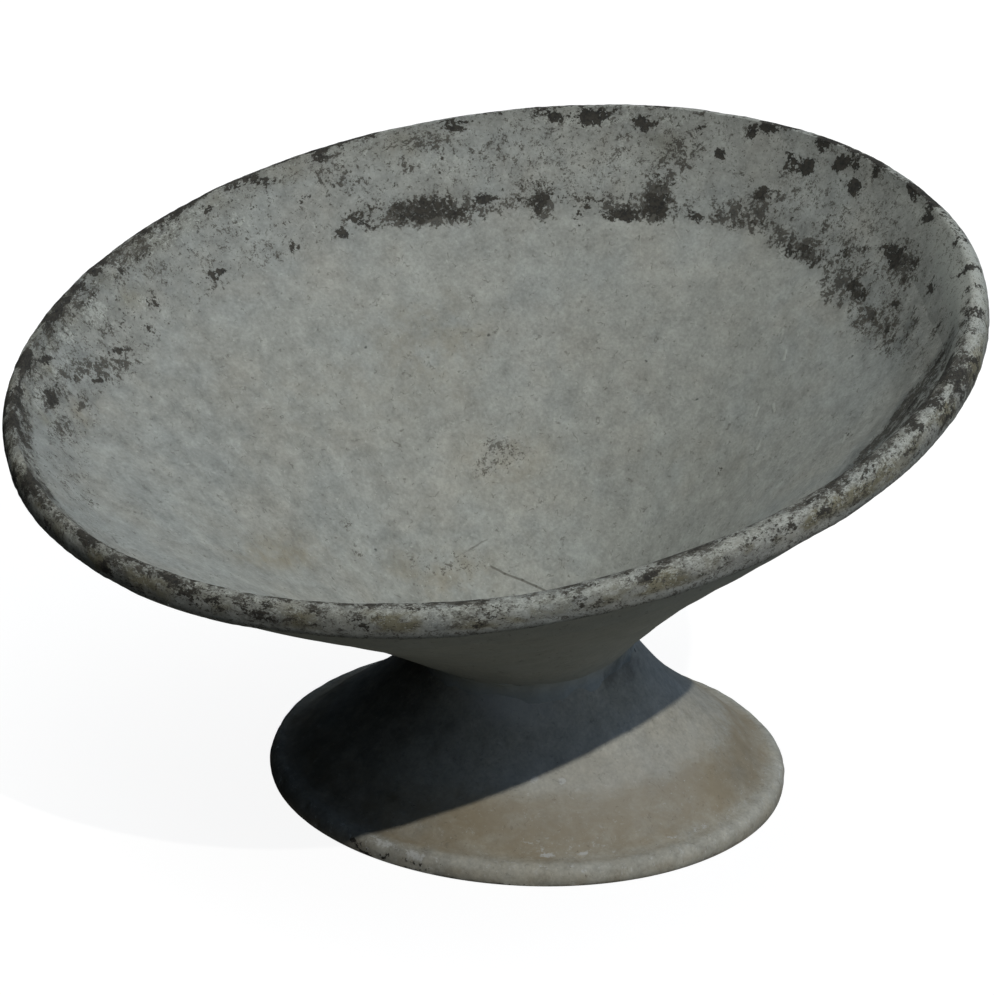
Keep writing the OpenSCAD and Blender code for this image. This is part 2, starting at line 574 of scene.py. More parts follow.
class CementBody(SharedGroup):
    """The cement itself: soft clouds of cooler and warmer grey, with a fine sandy grain."""

    name = "Cement body"
    takes = (SocketKind.POINT.named("Position") | SocketKind.COLOUR.named("Base", "Cool", "Warm")
             | SocketKind.NUMBER.named("Cloud size", "Cloud amount", "Grain"))
    gives = SocketKind.COLOUR.named("Colour") | SocketKind.NUMBER.named("Relief", "Roughness")
    sand_size, dust_size, smear_size = 0.0035, 0.016, 0.045
    layers_middle = 1.20                # what sand, dust and smears come to where the shade is even
    dust_height, sand_height = 0.0015, 0.0005

    def write(self, tree: Tree, given: Sockets) -> Sockets:
        """Writes the group's nodes, as SharedGroup.write says."""
        place, size, amount = given["Position"], given["Cloud size"], given["Cloud amount"]
        cool = tree.math("MULTIPLY", tree.ease(tree.noise(place, size, 5, 0.6, 0.3), 0.42, 0.62), amount)
        clouds = tree.ease(tree.noise(place, size, 6, 0.62, 0.2, shift=3.1), 0.45, 0.66)
        warm = tree.math("MULTIPLY", clouds, amount, clamp=True)
        colour = tree.mix(warm, tree.mix(cool, given["Base"], given["Cool"]), given["Warm"])
        sand = tree.noise(place, self.sand_size, 4, 0.6)
        dust = tree.noise(place, self.dust_size, 6, 0.6, shift=1.7)
        smear = tree.noise(place, self.smear_size, 5, 0.6, 0.5, shift=4.4)
        layers = tree.math("MULTIPLY_ADD", smear, 0.5, tree.math("MULTIPLY_ADD", sand, 0.9, dust))
        shade = tree.math("MULTIPLY", tree.math("SUBTRACT", layers, self.layers_middle), given["Grain"])
        grained = tree.vector("SCALE", colour, scale=tree.math("ADD", 1.0, shade))
        rough = tree.ease(sand, 0.3, 0.7, 0.78, 0.93)
        relief = tree.math("MULTIPLY_ADD", dust, self.dust_height,
                           tree.math("MULTIPLY", sand, self.sand_height))
        return {"Colour": grained, "Relief": relief, "Roughness": rough}


class CrustGrowth(SharedGroup):
    """Lichen and grime that has grown in ragged patches: where it sits, and how crumbly it is there."""

    name = "Crust growth"
    takes = (SocketKind.POINT.named("Position")
             | SocketKind.NUMBER.named("Density", "Size", "Raggedness", "Softness"))
    gives = SocketKind.NUMBER.named("Mask", "Crumbs")
    crumb_size = 0.3                    # beside that of the lumps
    crumb_weight = 0.9

    def write(self, tree: Tree, given: Sockets) -> Sockets:
        """Writes the group's nodes, as SharedGroup.write says."""
        lumps = tree.noise(given["Position"], given["Size"], 6, 0.65, 0.3)
        crumbs = tree.noise(given["Position"], tree.math("MULTIPLY", given["Size"], self.crumb_size),
                            5, 0.7, shift=7.7)
        strayed = tree.math("MULTIPLY_ADD", tree.math("SUBTRACT", crumbs, 0.5), self.crumb_weight,
                            tree.math("SUBTRACT", lumps, 0.5))
        level = tree.math("MULTIPLY_ADD", strayed, given["Raggedness"], given["Density"])
        low = tree.math("SUBTRACT", 0.5, given["Softness"])
        high = tree.math("ADD", 0.5, given["Softness"])
        return {"Mask": tree.ease(level, low, high), "Crumbs": tree.ease(crumbs, 0.36, 0.62)}


class PitsAndFlecks(SharedGroup):
    """Small round spots scattered over the cement, such as burst air bubbles, grit or specks of lime."""

    name = "Pits and flecks"
    takes = SocketKind.POINT.named("Position") | SocketKind.NUMBER.named("Spacing", "Spot size", "Share")
    gives = SocketKind.NUMBER.named("Mask")
    stray_scale, stray_reach = 260, 0.004       # of the noise that keeps the spots from being round

    def write(self, tree: Tree, given: Sockets) -> Sockets:
        """Writes the group's nodes, as SharedGroup.write says."""
        cells = tree.node("ShaderNodeTexVoronoi", feature="F1")
        strayed = tree.stray(given["Position"], self.stray_scale, self.stray_reach, 2)
        tree.put(strayed, cells.inputs["Vector"])
        tree.put(tree.math("DIVIDE", 1.0, given["Spacing"]), cells.inputs["Scale"])
        draw = tree.node("ShaderNodeSeparateColor")
        tree.put(cells.outputs["Color"], draw.inputs[0])
        reach = tree.math("MULTIPLY", tree.math("DIVIDE", given["Spot size"], given["Spacing"]),
                          tree.math("ADD", 0.5, draw.outputs[0]))
        spot = tree.ease(cells.outputs["Distance"], reach, tree.math("MULTIPLY", reach, 0.4))
        chosen = tree.math("LESS_THAN", draw.outputs[1], given["Share"])
        return {"Mask": tree.math("MULTIPLY", spot, chosen)}


class FibreMarks(SharedGroup):
    """Short thin curved marks, where fibres lie near the face or a tool has scratched it."""

    name = "Fibre marks"
    takes = SocketKind.POINT.named("Position") | SocketKind.NUMBER.named("Length", "Thinness", "Share")
    gives = SocketKind.NUMBER.named("Mask")

    def write(self, tree: Tree, given: Sockets) -> Sockets:
        """Writes the group's nodes, as SharedGroup.write says."""
        hills = tree.noise(given["Position"], given["Length"], 2, 0.5, 0.6)
        slope = tree.math("ABSOLUTE", tree.math("SUBTRACT", hills, 0.5))
        line = tree.ease(slope, given["Thinness"], 0.0)
        gaps = tree.noise(given["Position"], tree.math("MULTIPLY", given["Length"], 0.6), 2, 0.5, shift=5.3)
        limit = tree.math("SUBTRACT", 0.72, tree.math("MULTIPLY", given["Share"], 0.3))
        kept = tree.ease(gaps, limit, tree.math("ADD", limit, 0.06))
        return {"Mask": tree.math("MULTIPLY", line, kept)}


class CrackLine(SharedGroup):
    """One thin wavering line between two places, such as a hairline crack or the edge of a lap."""

    name = "Crack line"
    takes = SocketKind.POINT.named("Position", "Start", "End") | SocketKind.NUMBER.named("Width", "Wander")
    gives = SocketKind.NUMBER.named("Mask")
    wander_scale = 55

    def write(self, tree: Tree, given: Sockets) -> Sockets:
        """Writes the group's nodes, as SharedGroup.write says."""
        place = tree.stray(given["Position"], self.wander_scale, given["Wander"], 4)
        along = tree.vector("SUBTRACT", given["End"], given["Start"])
        across = tree.vector("SUBTRACT", place, given["Start"])
        length = tree.vector("DOT_PRODUCT", along, along, out="Value")
        reached = tree.vector("DOT_PRODUCT", across, along, out="Value")
        share = tree.math("DIVIDE", reached, length, clamp=True)
        foot = tree.vector("SUBTRACT", across, tree.vector("SCALE", along, scale=share))
        gap = tree.vector("LENGTH", foot, out="Value")
        ends = tree.math("MULTIPLY", tree.ease(share, 0.0, 0.12), tree.ease(share, 1.0, 0.9))
        line = tree.ease(gap, given["Width"], tree.math("MULTIPLY", given["Width"], 0.25))
        return {"Mask": tree.math("MULTIPLY", line, ends)}


CEMENT = CementBody()
CRUST = CrustGrowth()
SPOTS = PitsAndFlecks()
FIBRES = FibreMarks()
CRACK = CrackLine()


# ---- finishes ----------------------------------------------------------------------------------------


class Paint(Enum):
    """What is painted on the meshes, for the finishes to read: how much of each at a point, 0 to 1."""

    CRUST = "crust"         # solid black lichen
    GROWTH = "growth"       # thin brown lichen
    SPECKS = "specks"       # scattered specks
    SOIL = "soil"           # ochre soil stain
    BLEACH = "bleach"       # rubbed or limey, paler
    DAMP_AND_SHADE = "damp"           # above 0 darker: damp grime, and painted shade on the foot's shaded side, by its neck and on the dish's walls; below 0 a pale film: lime, and painted light by the foot's neck and across its lit front


# Where the noise of soil and growths is read: the point's own place, spread so that they lie drawn out the
# way that they do round the rim and the foot.
LIE = "lie"


@dataclass(frozen=True)
class Line:
    """One straight piece of a crack or a scratch, in metres."""

    start: tuple[float, float, float]
    end: tuple[float, float, float]
    width: float
    amount: float
    pale: bool = False


@dataclass(frozen=True)
class Habit:
    """How one kind of growth breaks up into crumbs."""

    size: float
    raggedness: float
    softness: float
    amount: float           # how much of the ground it hides where it sits
    shift: tuple[float, float, float] = (0.0, 0.0, 0.0)     # keeps its pattern apart from the others'


HABITS = {Paint.BLEACH: Habit(0.008, 2.4, 0.22, 0.7, (0.2, 0.6, 0.4)),
          Paint.GROWTH: Habit(0.010, 2.8, 0.10, 0.85, (0.11, 0.07, 0.23)),
          Paint.SPECKS: Habit(0.006, 2.4, 0.08, 0.75, (0.31, 0.17, 0.05)),
          Paint.CRUST: Habit(0.015, 3.1, 0.08, 0.97)}
DARK_FIBRES = {"Length": 0.012, "Thinness": 0.03, "Share": 0.5}
PALE_FIBRES = {"Length": 0.010, "Thinness": 0.022, "Share": 0.45}
PALE_SHIFT = (0.4, 0.2, 0.1)        # keeps the pale fibres apart from the dark ones
PITS = {"Spacing": 0.02, "Spot_size": 0.0016}


@dataclass(frozen=True)
class CementFinish:
    """Weathered fibre cement, with whatever has grown on it and washed over it."""

    name: str
    base: Colour = tone(149, 151, 145)
    cool: Colour = tone(141, 148, 148)
    warm: Colour = tone(154, 150, 139)
    soil: Colour = tone(134, 123, 98)
    soil_size: float = 0.03             # of the noise that breaks up the soil
    soil_amount: float = 0.8            # how much of the ground it hides
    soil_break: float = 2.4             # how strongly soil and the damp film, with its painted shade and light, are broken up
    film_size: float = 0.021            # of the noise that breaks up damp and lime, and the painted shade and light laid on with them
    growth: Colour = tone(73, 69, 61)
    crust: Colour = tone(38, 38, 36)
    pale: Colour = tone(172, 175, 167)
    # What damp grime and painted shade darken the cement towards
    damp: Colour = (0.48, 0.49, 0.50, 1.0)
    cloud_size: float = 0.09
    cloud_amount: float = 0.27
    grain: float = 0.85
    fibres: float = 0.5
    pits: float = 0.7
    pit_share: float = 0.16
    growth_softer: float = 0.0          # how much softer the edges of the brown lichen are than usual
    relief: float = 0.6
    crust_height: float = 0.0003        # how far the growths stand up
    crack_depth: float = 0.0008
    scratch_height: float = 0.0005      # how far a pale line stands up
    shine: float = 0.25
    line_wander: float = 0.004          # how far the cracks and scratches stray from straight
    lines: tuple[Line, ...] = ()

    def material(self) -> bpy.types.Material:
        """Builds the material.

        Returns:
            The material, with its shader linked up.
        """
        made = bpy.data.materials.new(self.name)
        made.use_nodes = True
        tree = Tree(made.node_tree)
        shader = made.node_tree.nodes["Principled BSDF"]
        place = tree.place()
        body = CEMENT.use(tree, Position=place, Base=self.base, Cool=self.cool, Warm=self.warm,
                          Cloud_size=self.cloud_size, Cloud_amount=self.cloud_amount, Grain=self.grain)
        lie = tree.attribute(LIE, out="Vector")
        colour = tree.cover(body["Colour"], self.mottled(tree, lie, Paint.SOIL, self.soil_size),
                            self.soil_amount, self.soil)
        # Damp grime and painted shade darken the colour. Below 0 the same attribute lays on a pale film
        # instead: lime, and painted light.
        damp_and_shade_film = self.mottled(tree, place, Paint.DAMP_AND_SHADE, self.film_size)
        colour = tree.mix(damp_and_shade_film, colour, self.damp, blend="MULTIPLY")
        lime_and_painted_light = tree.math("MULTIPLY", tree.attribute(Paint.DAMP_AND_SHADE.value), -1.0, clamp=True)
        colour = tree.mix(lime_and_painted_light, colour, self.pale)
        bleached = self.grown(tree, lie, Paint.BLEACH)
        colour = tree.cover(colour, bleached["Mask"], HABITS[Paint.BLEACH].amount, self.pale)
        colour = self.marks(tree, place, colour)
        growth, specks, crust = (self.grown(tree, lie, what)
                                 for what in (Paint.GROWTH, Paint.SPECKS, Paint.CRUST))
        brown = tree.mix(growth["Crumbs"], self.crust, self.growth)
        colour = tree.cover(colour, growth["Mask"], HABITS[Paint.GROWTH].amount, brown)
        colour = tree.cover(colour, specks["Mask"], HABITS[Paint.SPECKS].amount, self.growth)
        black = tree.cover(self.crust, crust["Crumbs"], 0.6, self.growth)
        colour = tree.cover(colour, crust["Mask"], HABITS[Paint.CRUST].amount, black)
        colour, cracked = self.drawn(tree, place, colour)
        tree.put(colour, shader.inputs["Base Color"])
        tree.put(body["Roughness"], shader.inputs["Roughness"])
        thick = tree.math("MULTIPLY", tree.math("ADD", growth["Mask"], crust["Mask"]), self.crust_height)
        bump = tree.node("ShaderNodeBump")
        bump.inputs["Strength"].default_value = self.relief
        bump.inputs["Distance"].default_value = 1.0
        tree.put(tree.math("ADD", tree.math("ADD", body["Relief"], thick), cracked), bump.inputs["Height"])
        tree.put(bump.outputs["Normal"], shader.inputs["Normal"])
        shader.inputs["Specular IOR Level"].default_value = self.shine
        return made

    def grown(self, tree: Tree, lie: Socket, what: Paint) -> Sockets:
        """Grows what is painted as one kind.

        Args:
            tree: the material's tree.
            lie: where its noise is read.
            what: the kind.

        Returns:
            Where it sits, and its crumbs.
        """
        habit = HABITS[what]
        moved = tree.vector("ADD", lie, habit.shift) if any(habit.shift) else lie
        softness = habit.softness + (self.growth_softer if what is Paint.GROWTH else 0.0)
        return CRUST.use(tree, Position=moved, Density=tree.attribute(what.value), Size=habit.size,
                         Raggedness=habit.raggedness, Softness=softness)

    def drawn(self, tree: Tree, place: Socket, colour: Socket) -> tuple[Socket, Value]:
        """Draws the cracks and scratches.

        Args:
            tree: the material's tree.
            place: the place on the object.
            colour: what they are drawn on.

        Returns:
            The colour with them on it, and the height that they add.
        """
        height = 0.0
        for line in self.lines:
            mask = CRACK.use(tree, Position=place, Start=line.start, End=line.end, Width=line.width,
                             Wander=self.line_wander)["Mask"]
            colour = tree.cover(colour, mask, line.amount, self.pale if line.pale else self.growth)
            height = tree.math("MULTIPLY_ADD", mask, self.scratch_height if line.pale else -self.crack_depth,
                               height)
        return colour, height

    def mottled(self, tree: Tree, place: Socket, what: Paint, size: float) -> Socket:
        """Breaks up what is painted softly, by noise.

        Args:
            tree: the material's tree.
            place: where the noise is read.
            what: what is painted.
            size: the size of the noise.

        Returns:
            How much of it there is.
        """
        broken = tree.math("SUBTRACT", tree.noise(place, size, 6, 0.65, 0.2, shift=2.3 + size), 0.5)
        amount = tree.attribute(what.value)
        reach = tree.math("MULTIPLY", broken, self.soil_break)
        spread = tree.math("MULTIPLY", reach, tree.ease(amount, 0.0, 0.4))
        return tree.math("ADD", amount, spread, clamp=True)

    def marks(self, tree: Tree, place: Socket, colour: Socket) -> Socket:
        """Adds the fibres and pits that all the cement has.

        Args:
            tree: the material's tree.
            place: the place on the object.
            colour: what they lie on.

        Returns:
            The colour with them on it.
        """
        dark = FIBRES.use(tree, Position=place, **DARK_FIBRES)
        light = FIBRES.use(tree, Position=tree.vector("ADD", place, PALE_SHIFT), **PALE_FIBRES)
        pits = SPOTS.use(tree, Position=place, Share=self.pit_share, **PITS)
        colour = tree.cover(colour, dark["Mask"], self.fibres, self.growth)
        colour = tree.cover(colour, light["Mask"], self.fibres, self.pale)
        return tree.cover(colour, pits["Mask"], self.pits, self.crust)


# ---- what grows and stains, and painted shade --------------------------------------------------------


@dataclass(frozen=True)
class Patch:
    """One patch on the dish's inside or on its rim. Lengths are in millimetres, and angles in degrees."""

    bearing: float          # round the dish's axis, from +X
    depth: float            # below the top of the rim, along the dish's axis
    around: float           # half its length, round the dish
    along: float            # half its width, down the dish
    amount: float
    tilt: float = 0.0       # of its length, from level


@dataclass(frozen=True)
class Mark:
    """A thin line inside the dish: a crack, or a scratch that has stayed pale."""

    corners: tuple[tuple[float, float], ...]    # each a bearing in degrees and a depth in millimetres
    width: float                                # in millimetres
    amount: float
    pale: bool = False


def dish_patches(*rows: Sequence[float]) -> tuple[Patch, ...]:
    """Turns rows of numbers into patches on the dish."""
    return tuple(Patch(*row) for row in rows)


CRUST_PATCHES = dish_patches(
    (144, 6, 11, 7, 0.8, 12), (162, 6, 9, 5, 0.9), (171, 7, 13, 5, 0.8, 20), (174, 2, 7, 5, 0.8),
    (166, 33, 7, 5, 0.7), (150, 66, 46, 11, 0.76, 9), (160, 62, 12, 7, 0.7, 32), (163, 66, 6, 5, 0.7, 34),
    (141.5, 65, 8, 5, 0.85, 14), (170.5, 63, 7, 5, 0.7, 45), (184, 58, 6, 5, 0.7),
    (179.5, 11, 7, 5, 0.75, 30), (195, 49, 8, 5, 0.7, 16), (218.5, 17, 20, 5, 0.8, 30),
    (224.5, 32, 14, 6, 0.95, 9), (133, 4, 9, 5, 0.8), (131, 9, 7, 5, 0.85), (126, 9, 22, 7, 0.95),
    (119, 16, 10, 8, 0.9, -20), (107.5, 31, 6, 5, 0.95), (103.5, 9, 5, 5, 0.85), (101, 3, 7, 5, 0.85),
    (92, 3, 8, 6, 0.95), (95.5, 25, 13, 8, 0.72), (88, 12, 12, 6, 0.9, -28), (85.5, 6, 5, 7, 0.85),
    (84.5, 26, 8, 6, 1.0), (74, 1, 20, 5, 0.65, 35), (69.5, 1, 7, 5, 0.9), (68, 12, 11, 6, 0.9, -33),
    (133.5, 71, 8, 16, 0.8), (128, 79, 9, 6, 0.8, 50), (120, 82, 20, 6, 0.86), (115.5, 70, 12, 18, 0.86),
    (108.5, 76, 8, 6, 0.8), (89, 80, 23, 10, 0.78, -7), (85, 81, 9, 8, 0.9, 8), (74, 81, 9, 7, 0.95),
    (70.5, 47, 19, 9, 0.95, -15), (99.5, 53, 10, 6, 0.6, -30), (57.5, 39, 12, 5, 0.65, -13),
    (107.5, 31, 4, 3, 1.1), (103.5, 9, 4, 5, 1.1), (101, 2, 10, 3, 1.1), (93.5, 25, 7, 9, 1.2),
    (96.5, 21, 8, 3, 1.1, 12), (92.5, 4, 6, 4, 1.15), (88.5, 12, 5, 8, 1.15), (135.5, 57, 6, 5, 0.9),
    (131, 9, 4, 3, 1.1), (125.5, 9, 9, 6, 1.15), (119.5, 14, 6, 5, 1.1, -20), (68, 12, 3, 4, 1.25),
    (84.5, 25, 5, 6, 1.2), (82, 7, 4, 5, 1.1), (69.5, 2, 6, 4, 1.15), (68, 12, 4, 5, 1.1),
    (69, 45, 7, 10, 1.15), (65, 45, 6, 14, 0.9), (74, 78, 7, 6, 1.0), (71.5, 82, 8, 6, 1.0),
    (74.5, 1, 6, 4, 1.0), (52.5, 2, 5, 7, 0.9), (42, 2, 8, 3, 0.8), (48, 3, 4, 3, 0.75),
    (59, 2, 8, 4, 0.6), (57, 39, 10, 3, 0.8, 25), (48, 44, 12, 3, 0.75, 50), (46, 61, 12, 3, 0.7, 45),
    (185, 2, 11, 5, 1.0), (175, 1, 12, 4, 0.85), (182.5, 57, 4, 4, 0.9), (224, 33, 6, 8, 1.1),
    (222, 30, 12, 5, 0.85, 30), (214, 58, 10, 4, 0.8, 40), (206, 58, 8, 4, 0.8, 30),
    (199, 60, 6, 4, 0.75, 20), (196, 12, 7, 4, 0.8, 20), (192, 18, 8, 3, 0.75), (60, 82, 6, 5, 0.95),
    (66, 84, 7, 4, 0.9, 40), (55, 66, 9, 3, 0.85, 40), (63, 68, 6, 4, 0.8), (80, 66, 6, 5, 0.75),
    (40, 38, 12, 4, 0.8, 50), (33, 60, 14, 4, 0.8, 50), (27.5, 2, 13, 6, 1.0, 20), (22, 2, 9, 5, 1.0),
    (32, 8, 9, 5, 0.9), (16.5, 3, 8, 5, 0.85), (25, 13, 9, 5, 0.85))

GROWTH_PATCHES = dish_patches(
    (148.5, 16, 27, 10, 0.7, 9), (152, 31, 11, 7, 0.55, 13), (161, 22, 18, 15, 0.65, 21),
    (196, 5, 11, 7, 0.75, 49), (205, 39, 10, 5, 0.65, 20), (204.5, 59, 10, 6, 0.65),
    (212, 52, 29, 9, 0.8, 32), (217, 36, 15, 6, 0.65, 27), (220.5, 58, 12, 6, 0.65),
    (227.5, 43, 20, 11, 0.5, 26), (113.5, 33, 18, 15, 0.65, -38), (122, 74, 11, 7, 0.65),
    (102.5, 73, 22, 8, 0.65, -10), (99, 64, 25, 10, 0.65, -10), (93.5, 79, 11, 9, 0.8, 24),
    (75, 85, 33, 20, 0.7, -13), (66.5, 49, 21, 12, 0.65, 7), (94.5, 42, 22, 13, 0.4, -7),
    (48.5, 47, 15, 6, 0.5, -17), (71, 215, 8, 4, 0.5, -26), (41, 121, 12, 4, 0.45, -32),
    (101, 70, 26, 9, 0.8), (94, 75.5, 24, 9, 0.8), (87, 77, 26, 9, 0.9), (99, 54, 16, 8, 0.7),
    (76, 83, 26, 15, 0.85, -20), (66, 88, 24, 14, 0.8, -20), (62, 80, 20, 16, 0.6),
    (150, 69, 54, 13, 0.95, 9), (120, 80, 24, 8, 0.9), (115.5, 66, 15, 24, 0.95), (133, 74, 10, 18, 0.95),
    (139.5, 30, 24, 8, 0.5), (160, 26, 22, 10, 0.6, 30), (101, 66, 20, 8, 0.8),
    (56.5, 84, 22, 14, 0.65, -20), (67, 46, 20, 18, 0.85), (55, 63, 14, 8, 0.6, 20),
    (78, 60, 20, 10, 0.55), (85, 55, 16, 12, 0.45), (36.5, 60, 48, 13, 0.9, 53),
    (39.5, 43, 20, 8, 0.75, 50), (34.5, 54, 26, 8, 0.85, 50), (30, 68, 28, 9, 0.88, 46),
    (36, 36, 24, 8, 0.75, 48), (31, 44, 24, 8, 0.75, 46), (26.5, 53, 22, 8, 0.7, 42),
    (30, 94, 36, 12, 0.95, 42), (33.5, 79, 34, 14, 0.85, 48), (206, 12, 22, 7, 0.7),
    (210, 60, 32, 9, 0.75, 30), (224, 32, 24, 10, 0.7, 20), (229, 46, 18, 8, 0.6, 20),
    (216, 44, 22, 7, 0.6, 35), (192, 10, 22, 8, 0.75), (197, 20, 12, 7, 0.6))

SPECK_PATCHES = dish_patches(
    (175, 60, 17, 13, 0.4), (183.5, 48, 9, 6, 0.5), (179.5, 27, 17, 14, 0.35, 24),
    (191, 32, 16, 7, 0.55, 20), (193, 6, 14, 9, 0.6, 11), (229.5, 50, 21, 8, 0.5, 30),
    (240.5, 52, 31, 7, 0.4, 38), (243.5, 62, 19, 7, 0.4, 38), (82, 7, 11, 8, 0.5),
    (136, 59, 10, 6, 0.6, -24), (137.5, 71, 10, 6, 0.55), (63.5, 86, 41, 23, 0.45, -22),
    (50, 74, 52, 13, 0.36, -28), (85, 47, 18, 10, 0.42, -18), (77, 36, 19, 10, 0.42, -14),
    (128, 40, 120, 30, 0.3), (80, 55, 90, 34, 0.32), (213, 40, 70, 30, 0.3, 30),
    (146, 129, 7, 5, 0.6, 60), (145.5, 233, 30, 17, 0.36), (147, 226, 10, 7, 0.6), (152, 241, 9, 6, 0.5),
    (213, 244, 7, 5, 0.6, 34), (205.5, 228, 8, 5, 0.5, -25), (185, 290, 50, 16, 0.30, 30))

BLEACH_PATCHES = dish_patches(
    (204, 26, 16, 11, 0.75), (211, 22, 12, 7, 0.75), (219, 30, 12, 6, 0.6), (226, 24, 14, 6, 0.65),
    (228, 40, 10, 5, 0.5), (186, 16, 22, 12, 0.45), (176, 30, 16, 9, 0.35), (181, 10, 12, 8, 0.4),
    (196, 46, 10, 7, 0.4), (147, 34, 26, 14, 0.35), (121, 40, 20, 14, 0.3), (93, 40, 24, 10, 0.25),
    (127, 13, 40, 10, 0.55), (116, 10, 26, 9, 0.55))

# Darker patches: damp grime, and painted shade, chiefly on the right wall round bearings 30 to 60, which faces
# away from the key light, and on the left wall round 200 to 230.
DAMP_AND_SHADE_PATCHES = dish_patches(
    (60, 74, 110, 36, 0.36, -12), (70, 40, 60, 26, 0.12), (38, 90, 60, 24, 0.22, 30),
    (36, 68, 56, 14, 0.75, 52), (30.5, 92, 36, 13, 0.75, 44), (36, 50, 46, 12, 0.7, 50),
    (30, 76, 36, 12, 0.7, 46), (32, 100, 50, 14, 0.5, 45), (100, 62, 40, 12, 0.2), (88, 66, 40, 14, 0.25),
    (150, 60, 56, 14, 0.25), (125, 72, 40, 12, 0.2), (118, 22, 24, 16, 0.2), (205, 48, 50, 14, 0.3, 30),
    (222, 50, 40, 12, 0.35, 25), (206, 10, 36, 14, 0.35), (170, 26, 24, 10, 0.2), (192, 8, 30, 8, 0.3))

SOIL_PATCHES = dish_patches(
    (197, 34, 22, 12, 0.45), (219, 20, 8, 8, 0.8), (228, 34, 16, 8, 0.7, 20), (222, 60, 30, 12, 0.4),
    (150, 20, 34, 12, 0.35), (115, 30, 26, 14, 0.35), (234.5, 192, 52, 19, 0.6, 46),
    (156, 150, 52, 43, 0.4, 24), (190, 291, 53, 23, 0.5, 36), (78, 222, 79, 30, 0.2, -27),
    (181.5, 160, 107, 38, 0.22, 30), (145.5, 237, 40, 30, 0.35))

PATCHES = {Paint.CRUST: CRUST_PATCHES, Paint.GROWTH: GROWTH_PATCHES, Paint.SPECKS: SPECK_PATCHES,
           Paint.SOIL: SOIL_PATCHES, Paint.BLEACH: BLEACH_PATCHES, Paint.DAMP_AND_SHADE: DAMP_AND_SHADE_PATCHES}

# How dense a full patch of each is: below 1, so that bare cement shows through between its crumbs.
PATCH_STRENGTH = {Paint.CRUST: 0.88, Paint.GROWTH: 0.78, Paint.SPECKS: 0.9, Paint.SOIL: 0.6,
                  Paint.BLEACH: 0.9, Paint.DAMP_AND_SHADE: 1.0}

# Round the rim, each a list of bearings from 0 to 360 degrees and a value for each of them.
RIM_MOTTLE = (       # how dark its mottle is
    (0, 30, 38, 46, 54, 65, 100, 150, 190, 215, 240, 300, 318, 330, 345, 360),
    (0.64, 0.72, 0.62, 0.16, 0.05, 0.03, 0.03, 0.06, 0.24, 0.47, 0.50, 0.60, 0.61, 0.54, 0.59, 0.64))
RIM_BLEACH = (       # how limey it is
    (0, 40, 60, 140, 200, 280, 320, 360), (0.54, 0.54, 0.34, 0.10, 0.30, 0.36, 0.46, 0.54))
RIM_SKIRT = (        # how far the mottle runs down its outside, in millimetres
    (0, 30, 50, 180, 220, 245, 285, 300, 330, 360), (18, 20, 14, 20, 26, 19, 18, 19, 17, 16))
RIM_BRINK = (        # how far in from its edge the dark brink reaches, in millimetres
    (0, 56, 62, 150, 175, 195, 210, 235, 260, 290, 360), (9, 12, 16, 16, 16, 18, 20, 20, 16, 10, 9))
RIM_DIRT = (         # how dirty that brink is
    (0, 56, 64, 104, 112, 150, 160, 192, 210, 240, 260, 290, 360),
    (0, 0, 0.70, 0.78, 0.32, 0.48, 0.80, 0.72, 0.45, 0.36, 0.25, 0.12, 0))
RIM_FLUSH = (        # how flush it is with the wall
    (0, 20, 36, 52, 72, 290, 315, 360), (0.0, 0.1, 0.45, 0.85, 1.0, 1.0, 0.2, 0.0))

# How the rim's growths and stains vary from place to place.
RIM_CLOUDS = Undulation(0.09, 1.0, 51)
RIM_BLOTCHES = Undulation(0.020, 1.0, 53)
RIM_OLIVE = Undulation(0.05, 1.0, 52)
BRINK_SPOTS = Undulation(0.05, 1.0, 54)

# The foot of the crisp rim, in millimetres out from its inner edge and down from its top.
CRISP_FOOT = ((0, 14), (0, 18), (0.5, 20.5), (1.5, 22), (3, 23), (4, 24))


@dataclass(frozen=True)
class Ground:
    """How dense a lichen is between its patches. It shows where this and its noise come to about 0.5."""

    bare: float             # everywhere
    band: float             # what the wall band adds
    crease: float           # what the line along the crease adds
    rim: float              # what the rim adds
    mottle: float           # what the rim's mottle adds
    brink: float            # what the rim's dirty brink adds


LICHEN_GROUNDS = {Paint.CRUST: Ground(-0.45, 0.27, 0.40, 0.22, 0.72, 1.0),
                  Paint.GROWTH: Ground(-0.40, 0.39, 0.42, 0.30, 0.86, 0.5)}
UNPAINTED = -0.5        # what a point has where nothing of a kind may grow

DISH_MARKS = (
    Mark(((163.5, 303), (157.5, 311), (148.5, 317.8), (140, 323.5), (132.5, 327.3)), 1.7, 0.6),
    Mark(((178, 289), (168, 287.5), (158.5, 285)), 1.2, 0.35),
    Mark(((124, 41), (124, 70)), 1.1, 0.3, pale=True), Mark(((121.5, 1), (121.5, 18)), 1.1, 0.3, pale=True),
    Mark(((81.5, 125), (80, 131)), 2.6, 0.6, pale=True),
    Mark(((77.5, 133), (76, 140)), 2.8, 0.65, pale=True),
    Mark(((73.5, 169), (72.5, 176)), 2.6, 0.55, pale=True),
    Mark(((70.5, 162), (68, 165)), 2.6, 0.55, pale=True),
    Mark(((65.5, 181), (63.5, 188)), 2.8, 0.6, pale=True),
    Mark(((42.5, 123), (39.5, 125)), 2.6, 0.5, pale=True),
    Mark(((112, 86), (107, 104)), 1.2, 0.35, pale=True), Mark(((117, 92), (116, 108)), 1.1, 0.3, pale=True),
)


# ---- the dish ----------------------------------------------------------------------------------------


